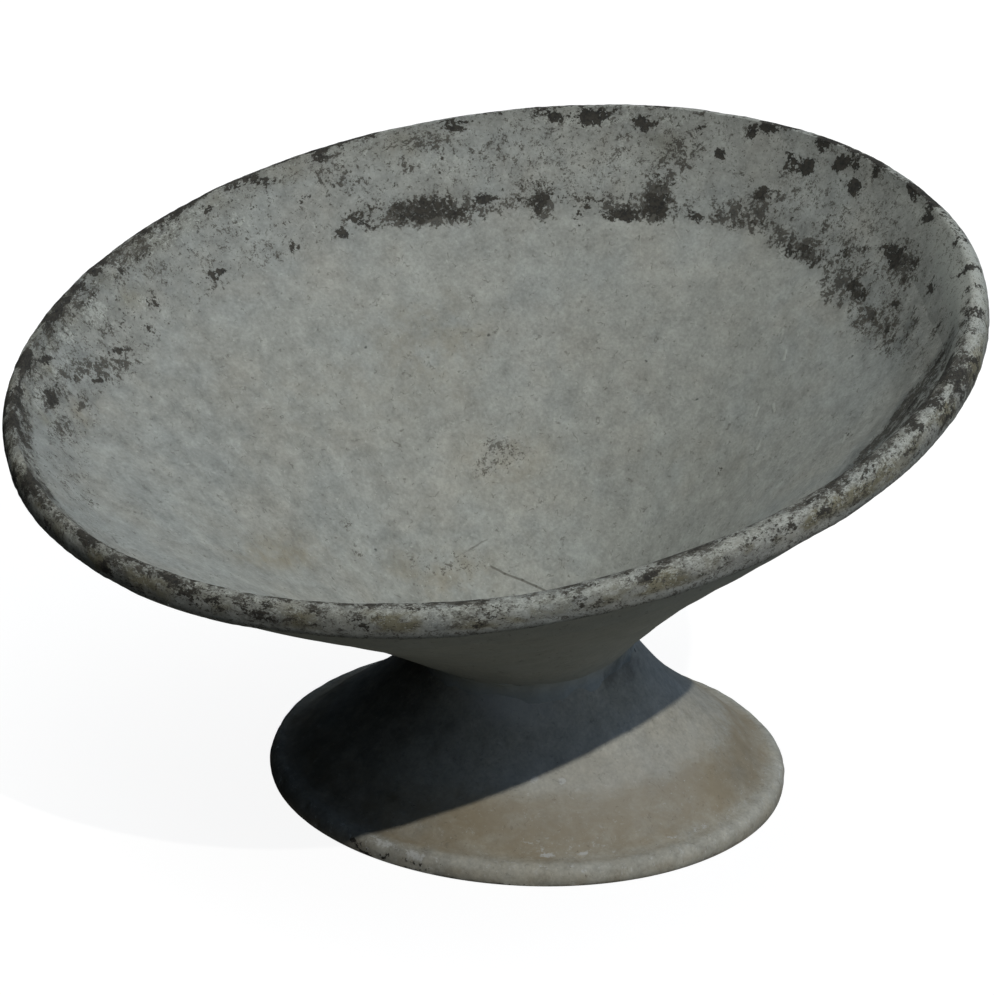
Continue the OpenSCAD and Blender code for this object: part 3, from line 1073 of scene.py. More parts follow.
@dataclass(frozen=True)
class Regions:
    """Where each point of the dish lies, and how far it belongs to each region of it, 0 to 1."""

    turned: Array      # its bearing, in degrees
    depth: Array       # below the rim's top
    across: Array      # 0 at the rim's inner edge, 1 at the bottom of its outside
    band: Array        # the wall band
    crease: Array      # the line of lichen along the crease
    low_down: Array    # the outside, below the rim's mottle
    brink: Array       # the dirty brink of the rim's top
    rim: Array         # the rim
    front_rim: Array   # the rim without its far side


@dataclass
class Dish:
    """The leaning dish: one sheet from its drain up to its wall band, and the rim rolled over its edge."""

    rim_radius: float = 0.450
    depth: float = 0.354
    sheet: float = 0.010
    band_run: float = 0.053
    band_drop: float = 0.078
    crease_round: float = 0.060
    floor_radius: float = 0.120
    cone_angle: float = math.radians(44)
    bead_width: float = 0.027
    bead_height: float = 0.035
    bead_bite: float = 0.012
    lean: float = math.radians(13)
    neck_height: float = 0.164
    rise: float = 0.299
    drain_radius: float = 0.0125
    crease_shift: float = 0.018         # how far the crease wanders up one side of the dish
    crease_shift_bearing: float = math.radians(230)
    crease_follow: float = 0.4          # the share of that by which the line of lichen follows it
    flush_reach: float = 0.030          # how far the flush part of the rim runs down over the wall
    broad_reach: float = 0.050          # and where the rim is at its broadest
    broad_bearing: float = 50.0         # in degrees
    rim_trim: float = 0.0025            # how far the rim's lower edge has been wiped up
    rim_grain: float = 1.6              # how many times as long as wide the growths on the rim are
    dip: float = 0.0030                 # depth of the dip in the rim's top
    dip_bearing: float = 322.0          # in degrees
    dip_half: float = 17.0              # half its length, in degrees
    waves: tuple[Undulation, ...] = (Undulation(0.20, 0.0006, 11), Undulation(0.05, 0.00020, 12))
    rim_waves: tuple[Undulation, ...] = (Undulation(0.22, 0.0004, 21), Undulation(0.05, 0.00014, 22),
                                         Undulation(0.012, 0.00012, 23))
    steps: int = 640
    rim_steps: int = 900
    drain_rings: int = 22               # how many rings of points the rounded floor has
    stations: tuple[int, int, int] = (70, 9, 30)        # and the cone, the fold at the crease and the band

    def __post_init__(self) -> None:
        """Works out the sizes that follow from the others."""
        self.rim_inner = self.rim_radius - self.bead_width
        self.floor_height = self.rise - self.depth + self.floor_radius
        self.crease = np.array([self.rim_inner - self.band_run, self.rise - self.band_drop])
        self.wall_top = np.array([self.rim_inner, self.rise - self.bead_height + self.bead_width / 2])
        self.bearings = np.arange(self.steps) * 2 * math.pi / self.steps

    # The dish's own frame has its axis along s; r is the distance from the axis.

    def to_world(self, r: Array, bearing: Array, s: Array) -> Array:
        """Turns places in the dish's own frame into places in the object's frame.

        Args:
            r: distances from the dish's axis.
            bearing: angles round it.
            s: heights along it.

        Returns:
            One place to a row.
        """
        x, y = r * np.cos(bearing), r * np.sin(bearing)
        turned_y = y * math.cos(self.lean) - s * math.sin(self.lean)
        turned_z = y * math.sin(self.lean) + s * math.cos(self.lean) + self.neck_height
        return np.stack([x, turned_y, turned_z], axis=-1)

    def to_dish(self, points: Array) -> tuple[Array, Array, Array]:
        """Turns places in the object's frame into places in the dish's own frame.

        Args:
            points: the places.

        Returns:
            Their distances from the dish's axis, their bearings and their heights along it.
        """
        x, y, z = points[:, 0], points[:, 1], points[:, 2] - self.neck_height
        own_y = y * math.cos(self.lean) + z * math.sin(self.lean)
        own_s = z * math.cos(self.lean) - y * math.sin(self.lean)
        return np.hypot(x, own_y), np.arctan2(own_y, x), own_s

    def side_profile(self, bearings: Array) -> Array:
        """The inside of the cone and the wall band, from the floor up to the rim's inside.

        Args:
            bearings: where round the dish the profile is taken.

        Returns:
            An array of stations by bearings by (r, s).
        """
        angle = self.cone_angle
        start = np.array([self.floor_radius * math.sin(angle),
                          self.floor_height - self.floor_radius * math.cos(angle)])
        reach = self.crease - start
        knee = start + np.linalg.norm(reach) / 2 * np.array([math.cos(angle), math.sin(angle)])
        up = unit(self.crease - knee)
        shift = self.crease_shift * np.cos(bearings - self.crease_shift_bearing)
        crease = self.crease + shift[:, None] * up
        wall = self.wall_top - crease
        wall_length = np.linalg.norm(wall, axis=1, keepdims=True)
        wall_up = wall / wall_length
        turn = np.arccos(np.clip(wall_up @ up, -1, 1))[:, None]
        leg = self.crease_round * np.tan(turn / 2)
        cone_end, wall_start = crease - leg * up, crease + leg * wall_up
        up_cone, up_fold, up_wall = (np.linspace(0, 1, count) for count in self.stations)
        cone = [bend(start, knee, cone_end, share) for share in up_cone]
        fold = [bend(cone_end, crease, wall_start, share) for share in up_fold[1:]]
        climb = (wall_length + self.bead_bite - leg) * wall_up
        return np.stack(cone + fold + [wall_start + share * climb for share in up_wall[1:]])

    def floor_ring(self, share: float, radius: float, bearings: Array) -> Array:
        """A ring on the rounded floor, between its edge and the drain.

        Args:
            share: 0 at the floor's edge, 1 at the drain.
            radius: of the face that the ring lies on.
            bearings: where the ring's points lie.

        Returns:
            One place to a row.
        """
        drain_angle = math.asin(self.drain_radius / radius)
        width = self.cone_angle + (drain_angle - self.cone_angle) * share
        tilt = self.lean * share
        down = np.array([0, -math.sin(tilt), -math.cos(tilt)])
        side = np.array([0, math.cos(tilt), -math.sin(tilt)])
        level = np.cos(bearings)[:, None] * np.array([1.0, 0, 0]) + np.sin(bearings)[:, None] * side
        ring = math.cos(width) * down + math.sin(width) * level
        own = ring * radius + np.array([0, 0, self.floor_height])
        return self.to_world(np.hypot(own[:, 0], own[:, 1]), np.arctan2(own[:, 1], own[:, 0]), own[:, 2])

    def sheet_mesh(self) -> Mesh:
        """Builds the sheet, closed round its edge and through its drain.

        Returns:
            The mesh, with its paint on it.
        """
        profile = self.side_profile(self.bearings)
        back = profile + self.sheet * beside(profile)
        back_radius = self.floor_radius + self.sheet
        loft = RingLoft("dish_sheet")
        for step in range(self.drain_rings, 0, -1):
            every = 4 if step > 14 else 2 if step > 6 else 1        # fewer points near the drain
            loft.add(self.floor_ring(step / self.drain_rings, self.floor_radius, self.bearings[::every]))
        for station in profile:
            loft.add(self.to_world(station[:, 0], self.bearings, station[:, 1]))
        for station in back[::-2]:
            loft.add(self.to_world(station[::2, 0], self.bearings[::2], station[::2, 1]))
        for step in range(1, self.drain_rings + 1, 2):
            every = 4 if step > 9 else 2                            # the back has half as many
            loft.add(self.floor_ring(step / self.drain_rings, back_radius, self.bearings[::every]))
        loft.add(self.floor_ring(1.0, back_radius, self.bearings[::4]))
        top = self.drain_rings + len(profile) - 1
        inside = sum(map(len, loft.rings[:top + 1]))
        drain = len(loft.rings) - 1
        mesh = loft.mesh((DiscChart(0, top - 1, (0.40, 0.40), 0.008, 0.395),
                          StripChart(top, top, (0.81, 0.02), (0.17, 0.03)),
                          DiscChart(top + 1, drain - 1, (0.82, 0.82), 0.174, 0.006),
                          StripChart(drain, drain, (0.81, 0.08), (0.17, 0.03))))
        points = positions(mesh)
        move(mesh, points + self.wavering(points))
        self.paint_growths(mesh, points, (np.arange(len(points)) < inside).astype(float))
        return mesh

    def wavering(self, points: Array) -> Array:
        """Works out how the sheet strays, square to the cone, and not at all under the rim.

        Args:
            points: the points.

        Returns:
            How far each is moved.
        """
        r, bearing, _ = self.to_dish(points)
        height = waver(points, *self.waves) * ease(r, self.rim_inner, self.rim_inner - 0.03)
        inwards = self.to_world(-np.sin(self.cone_angle), bearing, np.cos(self.cone_angle) + 0 * bearing)
        return height[:, None] * (inwards - np.array([0, 0, self.neck_height]))

    def regions(self, points: Array) -> Regions:
        """Works out where the points lie on the dish.

        Args:
            points: the points.

        Returns:
            Their places, and the regions that they belong to.
        """
        r, bearing, s = self.to_dish(points)
        depth, turned = self.rise - s, np.degrees(bearing) % 360
        follow = self.crease_shift * self.crease_follow
        crease = self.band_drop - follow * np.cos(bearing - self.crease_shift_bearing)
        skirt = np.interp(turned, *RIM_SKIRT) * MM
        outside = ease(r, self.rim_radius - 0.012, self.rim_radius - 0.006)
        low_down = outside * ease(depth, skirt, skirt + 0.005)
        rim = ease(r, self.rim_inner - 0.003, self.rim_inner + 0.003) * (1 - low_down)
        brink = self.rim_radius - np.interp(turned, *RIM_BRINK) * MM
        dirt = np.interp(turned, *RIM_DIRT)
        dirt = dirt + 0.4 * np.clip(BRINK_SPOTS.at(points), -1, 1) * (dirt > 0)
        across = (np.clip((r - self.rim_inner) / self.bead_width, 0, 1)
                  + np.clip(depth / self.bead_height, 0, 1)) / 2
        return Regions(turned=turned, depth=depth, across=across, low_down=low_down, rim=rim,
                       band=ease(depth, self.band_drop + 0.004, self.band_drop - 0.012),
                       crease=hump(depth, crease - 0.006, 0.016) * hump(turned, 112, 62),
                       brink=ease(r, brink, brink + 0.003) * ease(depth, 0.024, 0.012) * dirt,
                       front_rim=rim * (1 - hump(turned, 110, 75)))

    def mottle(self, points: Array, at: Regions) -> Array:
        """Works out how dark the rim's mottle is.

        Args:
            points: the points.
            at: where they lie.

        Returns:
            The darkness at each point, 0 off the rim.
        """
        dark = np.interp(at.turned, *RIM_MOTTLE)
        blotches = RIM_BLOTCHES.at(self.lie(points, at.front_rim))
        varied = 0.14 * np.clip(RIM_CLOUDS.at(points), -1.5, 1.5) + 0.16 * np.clip(blotches, -1.3, 1.4)
        whole = np.maximum(hump(at.turned, 250, 60), 0.8 * hump(at.turned, 30, 17))
        # Away from those two bearings the mottle is strongest along the rim's inner edge, and at the front
        # it thins out again towards the outer one.
        spread = whole + (1 - whole) * (0.42 + 0.9 * hump(at.across, 0.12, 0.34))
        spread = spread * (1 + hump(at.turned, 262, 38) * (0.3 - 0.95 * ease(at.across, 0.38, 0.63)))
        return np.where(at.rim > 0, dark * spread + varied * ease(dark, 0, 0.3), 0) * at.rim

    def paint_growths(self, mesh: Mesh, points: Array, inner: Array) -> None:
        """Paints every patch of lichen, soil, damp and lime that reaches a mesh, and the painted shade and
        light on the dish's walls.

        Args:
            mesh: the mesh.
            points: its points, before they were moved.
            inner: 1 for each point that growths may reach, 0 for the others.
        """
        at = self.regions(points)
        mottle = self.mottle(points, at)
        olive = at.rim * hump(at.across, 0.62, 0.3) * ease(mottle, 0, 0.2)
        olive = olive * np.clip(0.5 + 0.5 * RIM_OLIVE.at(points), 0, 1)
        left_side, right_side = hump(at.turned, 212, 80), hump(at.turned, 88, 60)
        limed_fold = hump(at.turned, 51, 30) * hump(at.depth, 0.012, 0.034)
        grounds = {what: np.maximum(g.bare + g.band * at.band + g.crease * at.crease,
                                    g.bare + g.rim * at.rim + g.mottle * mottle) + g.brink * at.brink
                   for what, g in LICHEN_GROUNDS.items()}
        grounds[Paint.SPECKS] = -0.27 + 0.40 * at.band + 0.10 * at.rim + 0.20 * at.low_down
        grounds[Paint.SOIL] = 0.02 + 0.05 * left_side + 0.14 * at.front_rim + 1.2 * olive
        # Painted shade on the left wall, which the key light reaches more directly, and a little painted light
        # on the right wall, which faces away from it. Along the front of the rim, grime darkens the mottle,
        # and the fold by bearing 51 is limed.
        grounds[Paint.DAMP_AND_SHADE] = (0.23 * left_side - 0.05 * right_side * (1 - at.rim)
                               + at.front_rim * (0.11 + 0.5 * mottle) - 0.92 * limed_fold)
        grounds[Paint.BLEACH] = (np.interp(at.turned, *RIM_BLEACH) * at.rim
                                 * (0.5 + 0.7 * hump(at.across, 0.42, 0.3)) - 0.1)
        for what, ground in grounds.items():
            covered = self.patched(points, PATCHES[what], ground, PATCH_STRENGTH[what])
            paint(mesh, what.value, inner * covered + UNPAINTED * (1 - inner))
        paint(mesh, LIE, self.lie(points, at.front_rim))

    def lie(self, points: Array, share: Array) -> Array:
        """Spreads the points away from the rim's middle line, so that growths lie drawn out along the rim.

        Args:
            points: the points.
            share: how far each point takes part, 0 to 1.

        Returns:
            One place to a point.
        """
        _, bearing, _ = self.to_dish(points)
        middle = self.to_world(np.full(len(points), self.rim_radius - self.bead_width / 2), bearing,
                               np.full(len(points), self.rise - self.bead_height / 2))
        return points + ((self.rim_grain - 1) * share)[:, None] * (points - middle)

    def inner_line(self, bearing: float) -> tuple[Array, Array]:
        """Works out the inside of the dish at one bearing.

        Args:
            bearing: the bearing.

        Returns:
            Depths below the rim's top, rising, and distances from the axis.
        """
        profile = self.side_profile(np.array([bearing]))[:, 0]
        depth = self.rise - profile[::-1, 1]
        floor = np.linspace(depth[-1], self.depth, 20)[1:]
        drop = self.floor_radius - (self.depth - floor)
        width = np.sqrt(np.maximum(self.floor_radius ** 2 - drop ** 2, 0))
        return np.concatenate([depth, floor]), np.concatenate([profile[::-1, 0], width])

    def inside(self, bearing: float, depth: float) -> tuple[float, float, float]:
        """A place on the dish's inside, from a bearing in degrees and a depth in millimetres."""
        turned = math.radians(bearing)
        r = np.interp(depth * MM, *self.inner_line(turned))
        return tuple(map(float, self.to_world(np.array(r), np.array(turned), self.rise - depth * MM)))

    def drawn(self, mark: Mark) -> list[Line]:
        """Cuts a mark into straight pieces, which overlap a little so that their faded ends don't show.

        Args:
            mark: the mark.

        Returns:
            Its pieces.
        """
        places = [np.array(self.inside(*corner)) for corner in mark.corners]
        lines = []
        for first, second in zip(places, places[1:]):
            over = 0.12 * (second - first) * (len(places) > 2)
            lines.append(Line(tuple(map(float, first - over)), tuple(map(float, second + over)),
                              mark.width * MM, mark.amount, mark.pale))
        return lines

    def patched(self, points: Array, patches: Sequence[Patch], ground: Array, strength: float) -> Array:
        """Works out how densely a list of patches covers each point.

        Args:
            points: the points.
            patches: the patches.
            ground: what is there between the patches.
            strength: the density of a full patch.

        Returns:
            The density at each point.
        """
        covered = ground
        for patch in patches:
            bearing = math.radians(patch.bearing)
            depths = patch.depth * MM + np.array([0.0, 0.004, 0.0])
            radii = np.interp(depths, *self.inner_line(bearing))
            centre, below, aside = self.to_world(radii, bearing + np.array([0.0, 0.0, 0.01]),
                                                 self.rise - depths)
            up, left = unit(centre - below), unit(aside - centre)
            out = np.cross(left, up)
            turn = math.radians(patch.tilt)
            length = math.cos(turn) * left + math.sin(turn) * up
            width = math.cos(turn) * up - math.sin(turn) * left
            offset = points - centre
            reach = np.sqrt((offset @ length / (patch.around * MM)) ** 2
                            + (offset @ width / (patch.along * MM)) ** 2 + (offset @ out / 0.02) ** 2)
            covered = cover(covered, patch.amount * strength, ease(reach, 2.0, 0.3))
        return covered

    def rim_section(self, bearings: Array) -> Array:
        """The rim's section: up its outside, over its top and down to the wall.

        Where the rim is flush, its inside runs on from the wall, and where it is crisp, it stands up from it.

        Args:
            bearings: where round the dish the section is taken.

        Returns:
            An array of stations by bearings by (r, s).
        """
        outer, inner = self.rim_radius, self.rim_inner
        top, low = self.rise - 0.0002, self.rise - self.bead_height + self.rim_trim
        outside = [(inner + 0.010, low + 0.001)]
        outside += arc((outer - 0.0115, low + 0.0115), (0.0115, 0.0115), -90, 0, 8)
        outside += [(outer, low + 0.0132)]
        outside += arc((outer - 0.0125, top - 0.018), (0.0125, 0.018), 0, 90, 14)
        crisp = [(inner + 0.0135, top)] + arc((inner + 0.010, top - 0.010), (0.010, 0.010), 90, 180, 8)
        crisp += [(inner + out * MM, top - down * MM) for out, down in CRISP_FOOT]
        profile = self.side_profile(bearings)
        wall_up = unit(profile[-1] - profile[-2])
        broad = hump(np.degrees(bearings), self.broad_bearing, 34)[:, None]
        foot = self.wall_top - (self.flush_reach + (self.broad_reach - self.flush_reach) * broad) * wall_up
        shoulder = np.array([inner + 0.0125, top - 0.0003])
        corner = self.wall_top + (np.array([inner + 0.005, top - 0.0055]) - self.wall_top) * broad
        flush = [np.broadcast_to((inner + 0.0135, top), foot.shape)]
        flush += [bend(shoulder, corner, foot, share) for share in np.linspace(0, 1, len(crisp) - 2)]
        flush.append(foot + 0.0008 * np.stack([wall_up[:, 1], -wall_up[:, 0]], axis=-1) - 0.004 * wall_up)
        flushness = np.interp(np.degrees(bearings), *RIM_FLUSH)[:, None]
        inside = [(1 - flushness) * np.array(a) + flushness * b for a, b in zip(crisp, flush)]
        ends = [np.broadcast_to(point, foot.shape) for point in outside]
        back = [np.broadcast_to((inner + 0.008, low + 0.006), foot.shape)]
        return np.stack(ends + inside + back)

    def rim_mesh(self) -> Mesh:
        """Builds the rolled rim, a closed ring with a soft, uneven section.

        Returns:
            The mesh, with its paint on it.
        """
        bearings = np.arange(self.rim_steps) * 2 * math.pi / self.rim_steps
        loft = RingLoft("rolled_rim")
        for station in self.rim_section(bearings):
            loft.add(self.to_world(station[:, 0], bearings, station[:, 1]))
        mesh = loft.mesh((StripChart(0, len(loft.rings) - 1, rows=5),))
        points = positions(mesh)
        normals = vertex_normals(mesh)
        r, bearing, s = self.to_dish(points)
        free = ease(r, self.rim_inner, self.rim_inner + 0.008)
        low = self.dip * hump(np.degrees(bearing) % 360, self.dip_bearing, self.dip_half)
        low = low * ease(self.rise - s, 0.026, 0)
        dip = low[:, None] * np.array([0, math.sin(self.lean), -math.cos(self.lean)])
        strayed = normals * (np.minimum(waver(points, *self.rim_waves) - 0.0006, 0) * free)[:, None]
        move(mesh, points + strayed + self.wavering(points) + dip)
        self.paint_growths(mesh, points, np.ones(len(points)))
        return mesh

    def build(self) -> None:
        """Builds the sheet and the rim and dresses them."""
        lines = tuple(line for mark in DISH_MARKS for line in self.drawn(mark))
        cement = CementFinish("dish_cement", lines=lines)
        rim_cement = CementFinish("rim_cement", soil=tone(118, 112, 86), growth_softer=0.07)
        place_piece(self.sheet_mesh(), cement.material(), ("dish_shell", "floor_disc"))
        place_piece(self.rim_mesh(), rim_cement.material(), ("rim_bead",))


def positions(mesh: Mesh) -> Array:
    """The places of a mesh's points, one to a row."""
    flat = np.empty(len(mesh.vertices) * 3)
    mesh.vertices.foreach_get("co", flat)
    return flat.reshape(-1, 3)


def vertex_normals(mesh: Mesh) -> Array:
    """The directions that a mesh's points face, one to a row."""
    flat = np.empty(len(mesh.vertices) * 3)
    mesh.vertex_normals.foreach_get("vector", flat)
    return flat.reshape(-1, 3)


def move(mesh: Mesh, points: Array) -> None:
    """Moves a mesh's points to new places."""
    mesh.vertices.foreach_set("co", points.ravel())
    mesh.update()


# ---- the foot ----------------------------------------------------------------------------------------


@dataclass(frozen=True)
class FootPatch:
    """One patch on the foot. Lengths are in millimetres and the bearing in degrees, from +X."""

    bearing: float
    radius: float           # from the foot's axis
    around: float           # half its length, round the foot
    along: float            # half its width
    amount: float


def foot_patches(*rows: Sequence[float]) -> tuple[FootPatch, ...]:
    """Turns rows of numbers into patches on the foot."""
    return tuple(FootPatch(*row) for row in rows)


FOOT_SOIL = foot_patches(
    (42, 206, 62, 15, 0.95), (14, 196, 60, 18, 0.95), (-12, 196, 80, 20, 0.9), (-42, 200, 100, 22, 0.9),
    (66, 214, 44, 12, 0.8), (-15, 160, 50, 16, 0.22), (-70, 222, 60, 12, 0.8), (-20, 226, 90, 8, 0.55),
    (33, 182, 60, 14, 0.3), (120, 214, 120, 12, 0.6), (200, 212, 160, 16, 0.6))
FOOT_FLECKS = foot_patches(
    (-39, 160, 3, 2, 1.2), (-30, 162, 3, 2, 1.2), (-27.5, 222, 4, 1.5, 1.2), (-36, 223, 6, 1.5, 1.2),
    (-33, 216, 36, 8, 0.12), (-74, 238, 12, 3, 0.6), (-66, 240, 9, 3, 0.6), (8, 224, 60, 4, 0.15))
FOOT_CHIPS = foot_patches(
    (-82, 243.5, 7, 1.6, 0.48), (-78, 243.5, 9, 1.8, 0.52), (-73.5, 243.5, 7, 1.2, 0.42),
    (-66, 243.5, 12, 1.2, 0.34))


@dataclass
class Foot:
    """The flared hollow foot, the strip round its edge and the mortar of its neck."""

    dish: Dish
    radius: float = 0.2435
    sheet: float = 0.011
    waist_radius: float = 0.073
    waist_height: float = 0.221
    flare: float = 2.2
    edge_width: float = 0.017
    edge_height: float = 0.021
    edge_face: float = 0.007
    channel: float = 0.0025
    edge_cover: float = 0.0075
    fillet: float = 0.015           # how far the mortar reaches down over the foot
    fillet_up: float = 0.012        # and up over the dish
    mortar_bed: float = 0.004       # how deep its edges are let into them
    sag: float = 0.0040             # depth of the soft channel near the edge
    lip_blend: float = 0.0038       # how softly the strip's top leaves the sheet
    shoulder: float = 0.0125        # how broadly the strip's edge is rounded over
    overrun: float = 1.012          # how far the sheet runs on into the dish, as a share of its length
    streak: float = 2.6             # how strongly the soil is drawn out round the foot
    streak_radius: float = 0.15     # and where that begins
    waves: tuple[Undulation, ...] = (Undulation(0.12, 0.0007, 31), Undulation(0.04, 0.00016, 32))
    strip_waves: tuple[Undulation, ...] = (Undulation(0.10, 0.0003, 41), Undulation(0.018, 0.00014, 42))
    strip_chips: Undulation = Undulation(0.022, 1.0, 43)
    mortar_waves: Undulation = Undulation(0.03, 0.0004, 61)
    steps: int = 480
    rows: int = 74                  # of faces up the sheet

    def __post_init__(self) -> None:
        """Works out the sizes that follow from the others."""
        self.toe_radius = self.radius - self.edge_cover
        self.toe_height = self.edge_height - self.channel
        self.bearings = np.arange(self.steps) * 2 * math.pi / self.steps
        self.joint = self.joint_shares()

    def outline(self, share: Array) -> tuple[Array, Array]:
        """The foot's outer face: distance from its axis, and height, as share runs from edge to waist."""
        r = self.waist_radius + (self.toe_radius - self.waist_radius) * (1 - share) ** self.flare
        return r, self.toe_height + (self.waist_height - self.toe_height) * share

    def slope(self, share: Array) -> Array:
        """The way up along the outer face, one (r, z) direction to a share."""
        share = np.maximum(share, 1e-4)
        r = -(self.toe_radius - self.waist_radius) * self.flare * (1 - share) ** (self.flare - 1)
        return unit(np.stack([r, np.full_like(r, self.waist_height - self.toe_height)], axis=-1))

    def underside(self) -> tuple[Array, Array]:
        """Works out the underside of the dish near its floor.

        Returns:
            Distances from the dish's axis, and heights along it.
        """
        profile = self.dish.side_profile(np.zeros(1))[:, 0]
        angles = np.linspace(0, self.dish.cone_angle, 30)[:-1]
        floor = np.stack([self.dish.floor_radius * np.sin(angles),
                          self.dish.floor_height - self.dish.floor_radius * np.cos(angles)], axis=-1)
        inner = np.concatenate([floor, profile])
        under = inner + self.dish.sheet * beside(inner)
        return under[:, 0], under[:, 1]

    def joint_shares(self) -> Array:
        """Finds where the foot's outer face meets the underside of the dish.

        Returns:
            The share of the way up the face, for each bearing.
        """
        under_r, under_s = self.underside()
        low, high = np.full(self.steps, 0.3), np.ones(self.steps)
        for _ in range(30):
            middle = (low + high) / 2
            own_r, _, own_s = self.dish.to_dish(self.ring(*self.outline(middle)))
            inside = own_s > np.interp(own_r, under_r, under_s)
            high = np.where(inside, middle, high)
            low = np.where(inside, low, middle)
        return low

    def ring(self, r: Array, z: Array) -> Array:
        """A ring of points round the foot's axis."""
        return np.stack([r * np.cos(self.bearings), r * np.sin(self.bearings), np.broadcast_to(z, r.shape)],
                        axis=-1)

    def sheet_mesh(self) -> Mesh:
        """Builds the foot's sheet, its top cut to the underside of the dish.

        Returns:
            The mesh, with its paint on it.
        """
        loft, rows = RingLoft("foot_sheet"), self.rows
        for step in range(rows + 1):
            loft.add(self.ring(*self.outline(self.joint * (step / rows) * self.overrun)))
        for step in range(rows, -1, -2):
            share = self.joint * (step / rows) * self.overrun
            r, z = self.outline(share)
            slope = self.slope(share)
            loft.add(self.ring(r - self.sheet * slope[:, 1], z + self.sheet * slope[:, 0]))
        last = len(loft.rings) - 1
        mesh = loft.mesh((DiscChart(0, rows - 1, (0.40, 0.40), 0.395, 0.10),
                          StripChart(rows, rows, (0.81, 0.02), (0.17, 0.03)),
                          DiscChart(rows + 1, last - 1, (0.82, 0.82), 0.045, 0.174),
                          StripChart(last, last, (0.81, 0.08), (0.17, 0.03))))
        points = positions(mesh)
        move(mesh, points + self.wavering(points))
        self.paint_foot(mesh, points)
        return mesh

    def sheet_waves(self, points: Array) -> Array:
        """How far the sheet wavers up and down at each point."""
        r = np.hypot(points[:, 0], points[:, 1])
        return waver(points, *self.waves) * ease(r, self.toe_radius + 0.002, self.toe_radius - 0.018)

    def sinking(self, r: Array) -> Array:
        """How far the sheet sags at a distance from the axis: it has a soft channel near its edge."""
        return self.sag * hump(r, self.radius - 0.024, 0.026)

    def sagged(self, r: float) -> float:
        """The height of the sheet's outer face at a distance from the axis, with its sag."""
        share = 1 - ((r - self.waist_radius) / (self.toe_radius - self.waist_radius)) ** (1 / self.flare)
        return float(self.outline(np.array(share))[1] - self.sinking(np.array(r)))

    def lip(self, r: float, crest: float) -> float:
        """The height of the strip's top: it leaves the sheet softly and rises to its crest."""
        sheet = self.sagged(r) + 0.0001
        share = min(max(0.5 + (crest - sheet) / (2 * self.lip_blend), 0.0), 1.0)
        return sheet + (crest - sheet) * share + self.lip_blend * share * (1 - share) * 0.6

    def wavering(self, points: Array) -> Array:
        """How the sheet strays at each point: it sags into a soft channel near its edge, and it wavers."""
        r = np.hypot(points[:, 0], points[:, 1])
        return np.stack([0 * r, 0 * r, self.sheet_waves(points) - self.sinking(r)], axis=-1)

    def strip_mesh(self) -> Mesh:
        """Builds the strip round the foot's edge, feathered on to the sheet above it.

        Returns:
            The mesh, with its paint on it.
        """
        inner = self.radius - self.edge_width
        crest = self.edge_height - 0.0006
        section = [(inner + 0.002, 0.0), (inner, 0.002), (inner, 0.012), (inner, self.toe_height - 0.004)]
        for inset, depth in ((0.0235, 0.004), (0.0238, 0.0004)):
            section.append((self.radius - inset, self.sagged(self.radius - inset) - depth))
        for r in np.linspace(self.radius - 0.022, self.radius - self.shoulder, 9)[:-1]:
            section.append((r, self.lip(r, crest)))
        section += arc((self.radius - self.shoulder, self.edge_face), (self.shoulder, crest - self.edge_face),
                       90, 0, 14)
        for inset, height in ((0.0002, 0.004), (0.001, 0.0015), (0.003, 0.0), (0.007, 0.0)):
            section.append((self.radius - inset, height))
        loft = RingLoft("foot_strip")
        for r, z in section:
            loft.add(self.ring(np.full(self.steps, r), np.full(self.steps, z)))
        mesh = loft.mesh((StripChart(0, len(loft.rings) - 1, rows=4),))
        points = positions(mesh)
        waves = waver(points, *self.strip_waves)
        chips = np.maximum(self.strip_chips.at(points) - 1.7, 0) * 0.0016
        r, height = np.hypot(points[:, 0], points[:, 1]), points[:, 2]
        own = ease(r, self.radius - 0.022, self.radius - 0.013) * ease(height, 0, 0.006)
        offset = vertex_normals(mesh) * (np.minimum(waves - 0.0004 - chips, 0) * own)[:, None]
        offset[:, 2] += self.sheet_waves(points) * (1 - own) * ease(height, 0.012, 0.016)
        move(mesh, points + offset)
        self.paint_foot(mesh, points)
        return mesh

    def mortar_mesh(self) -> Mesh:
        """Builds the mortar wiped round the outside of the neck.

        Returns:
            The mesh, with its paint on it.
        """
        corner = self.ring(*self.outline(self.joint))
        slope = self.slope(self.joint)
        down = self.ring(-slope[:, 0], -slope[:, 1]) * self.fillet
        own_r, own_bearing, _ = self.dish.to_dish(corner)
        under_r, under_s = self.underside()
        wider = own_r + self.fillet_up
        out = self.dish.to_world(wider, own_bearing, np.interp(wider, under_r, under_s)) - corner
        into_foot = self.ring(-slope[:, 1], slope[:, 0]) * self.mortar_bed
        into_dish = np.array([0, 0, self.mortar_bed])
        loft = RingLoft("neck_mortar")
        loft.add(corner + down * 1.1 + into_foot)
        for share in np.linspace(0, 1, 15):
            loft.add(corner + (1 - share) ** 2 * down + share ** 2 * out)
        loft.add(corner + out * 1.05 + into_dish)
        loft.add(corner + (into_foot - out * 0.3) * 0.8)
        mesh = loft.mesh((StripChart(0, len(loft.rings) - 1, rows=3),))
        points = positions(mesh)
        move(mesh, points + vertex_normals(mesh) * self.mortar_waves.at(points)[:, None])
        self.paint_foot(mesh, points)
        return mesh

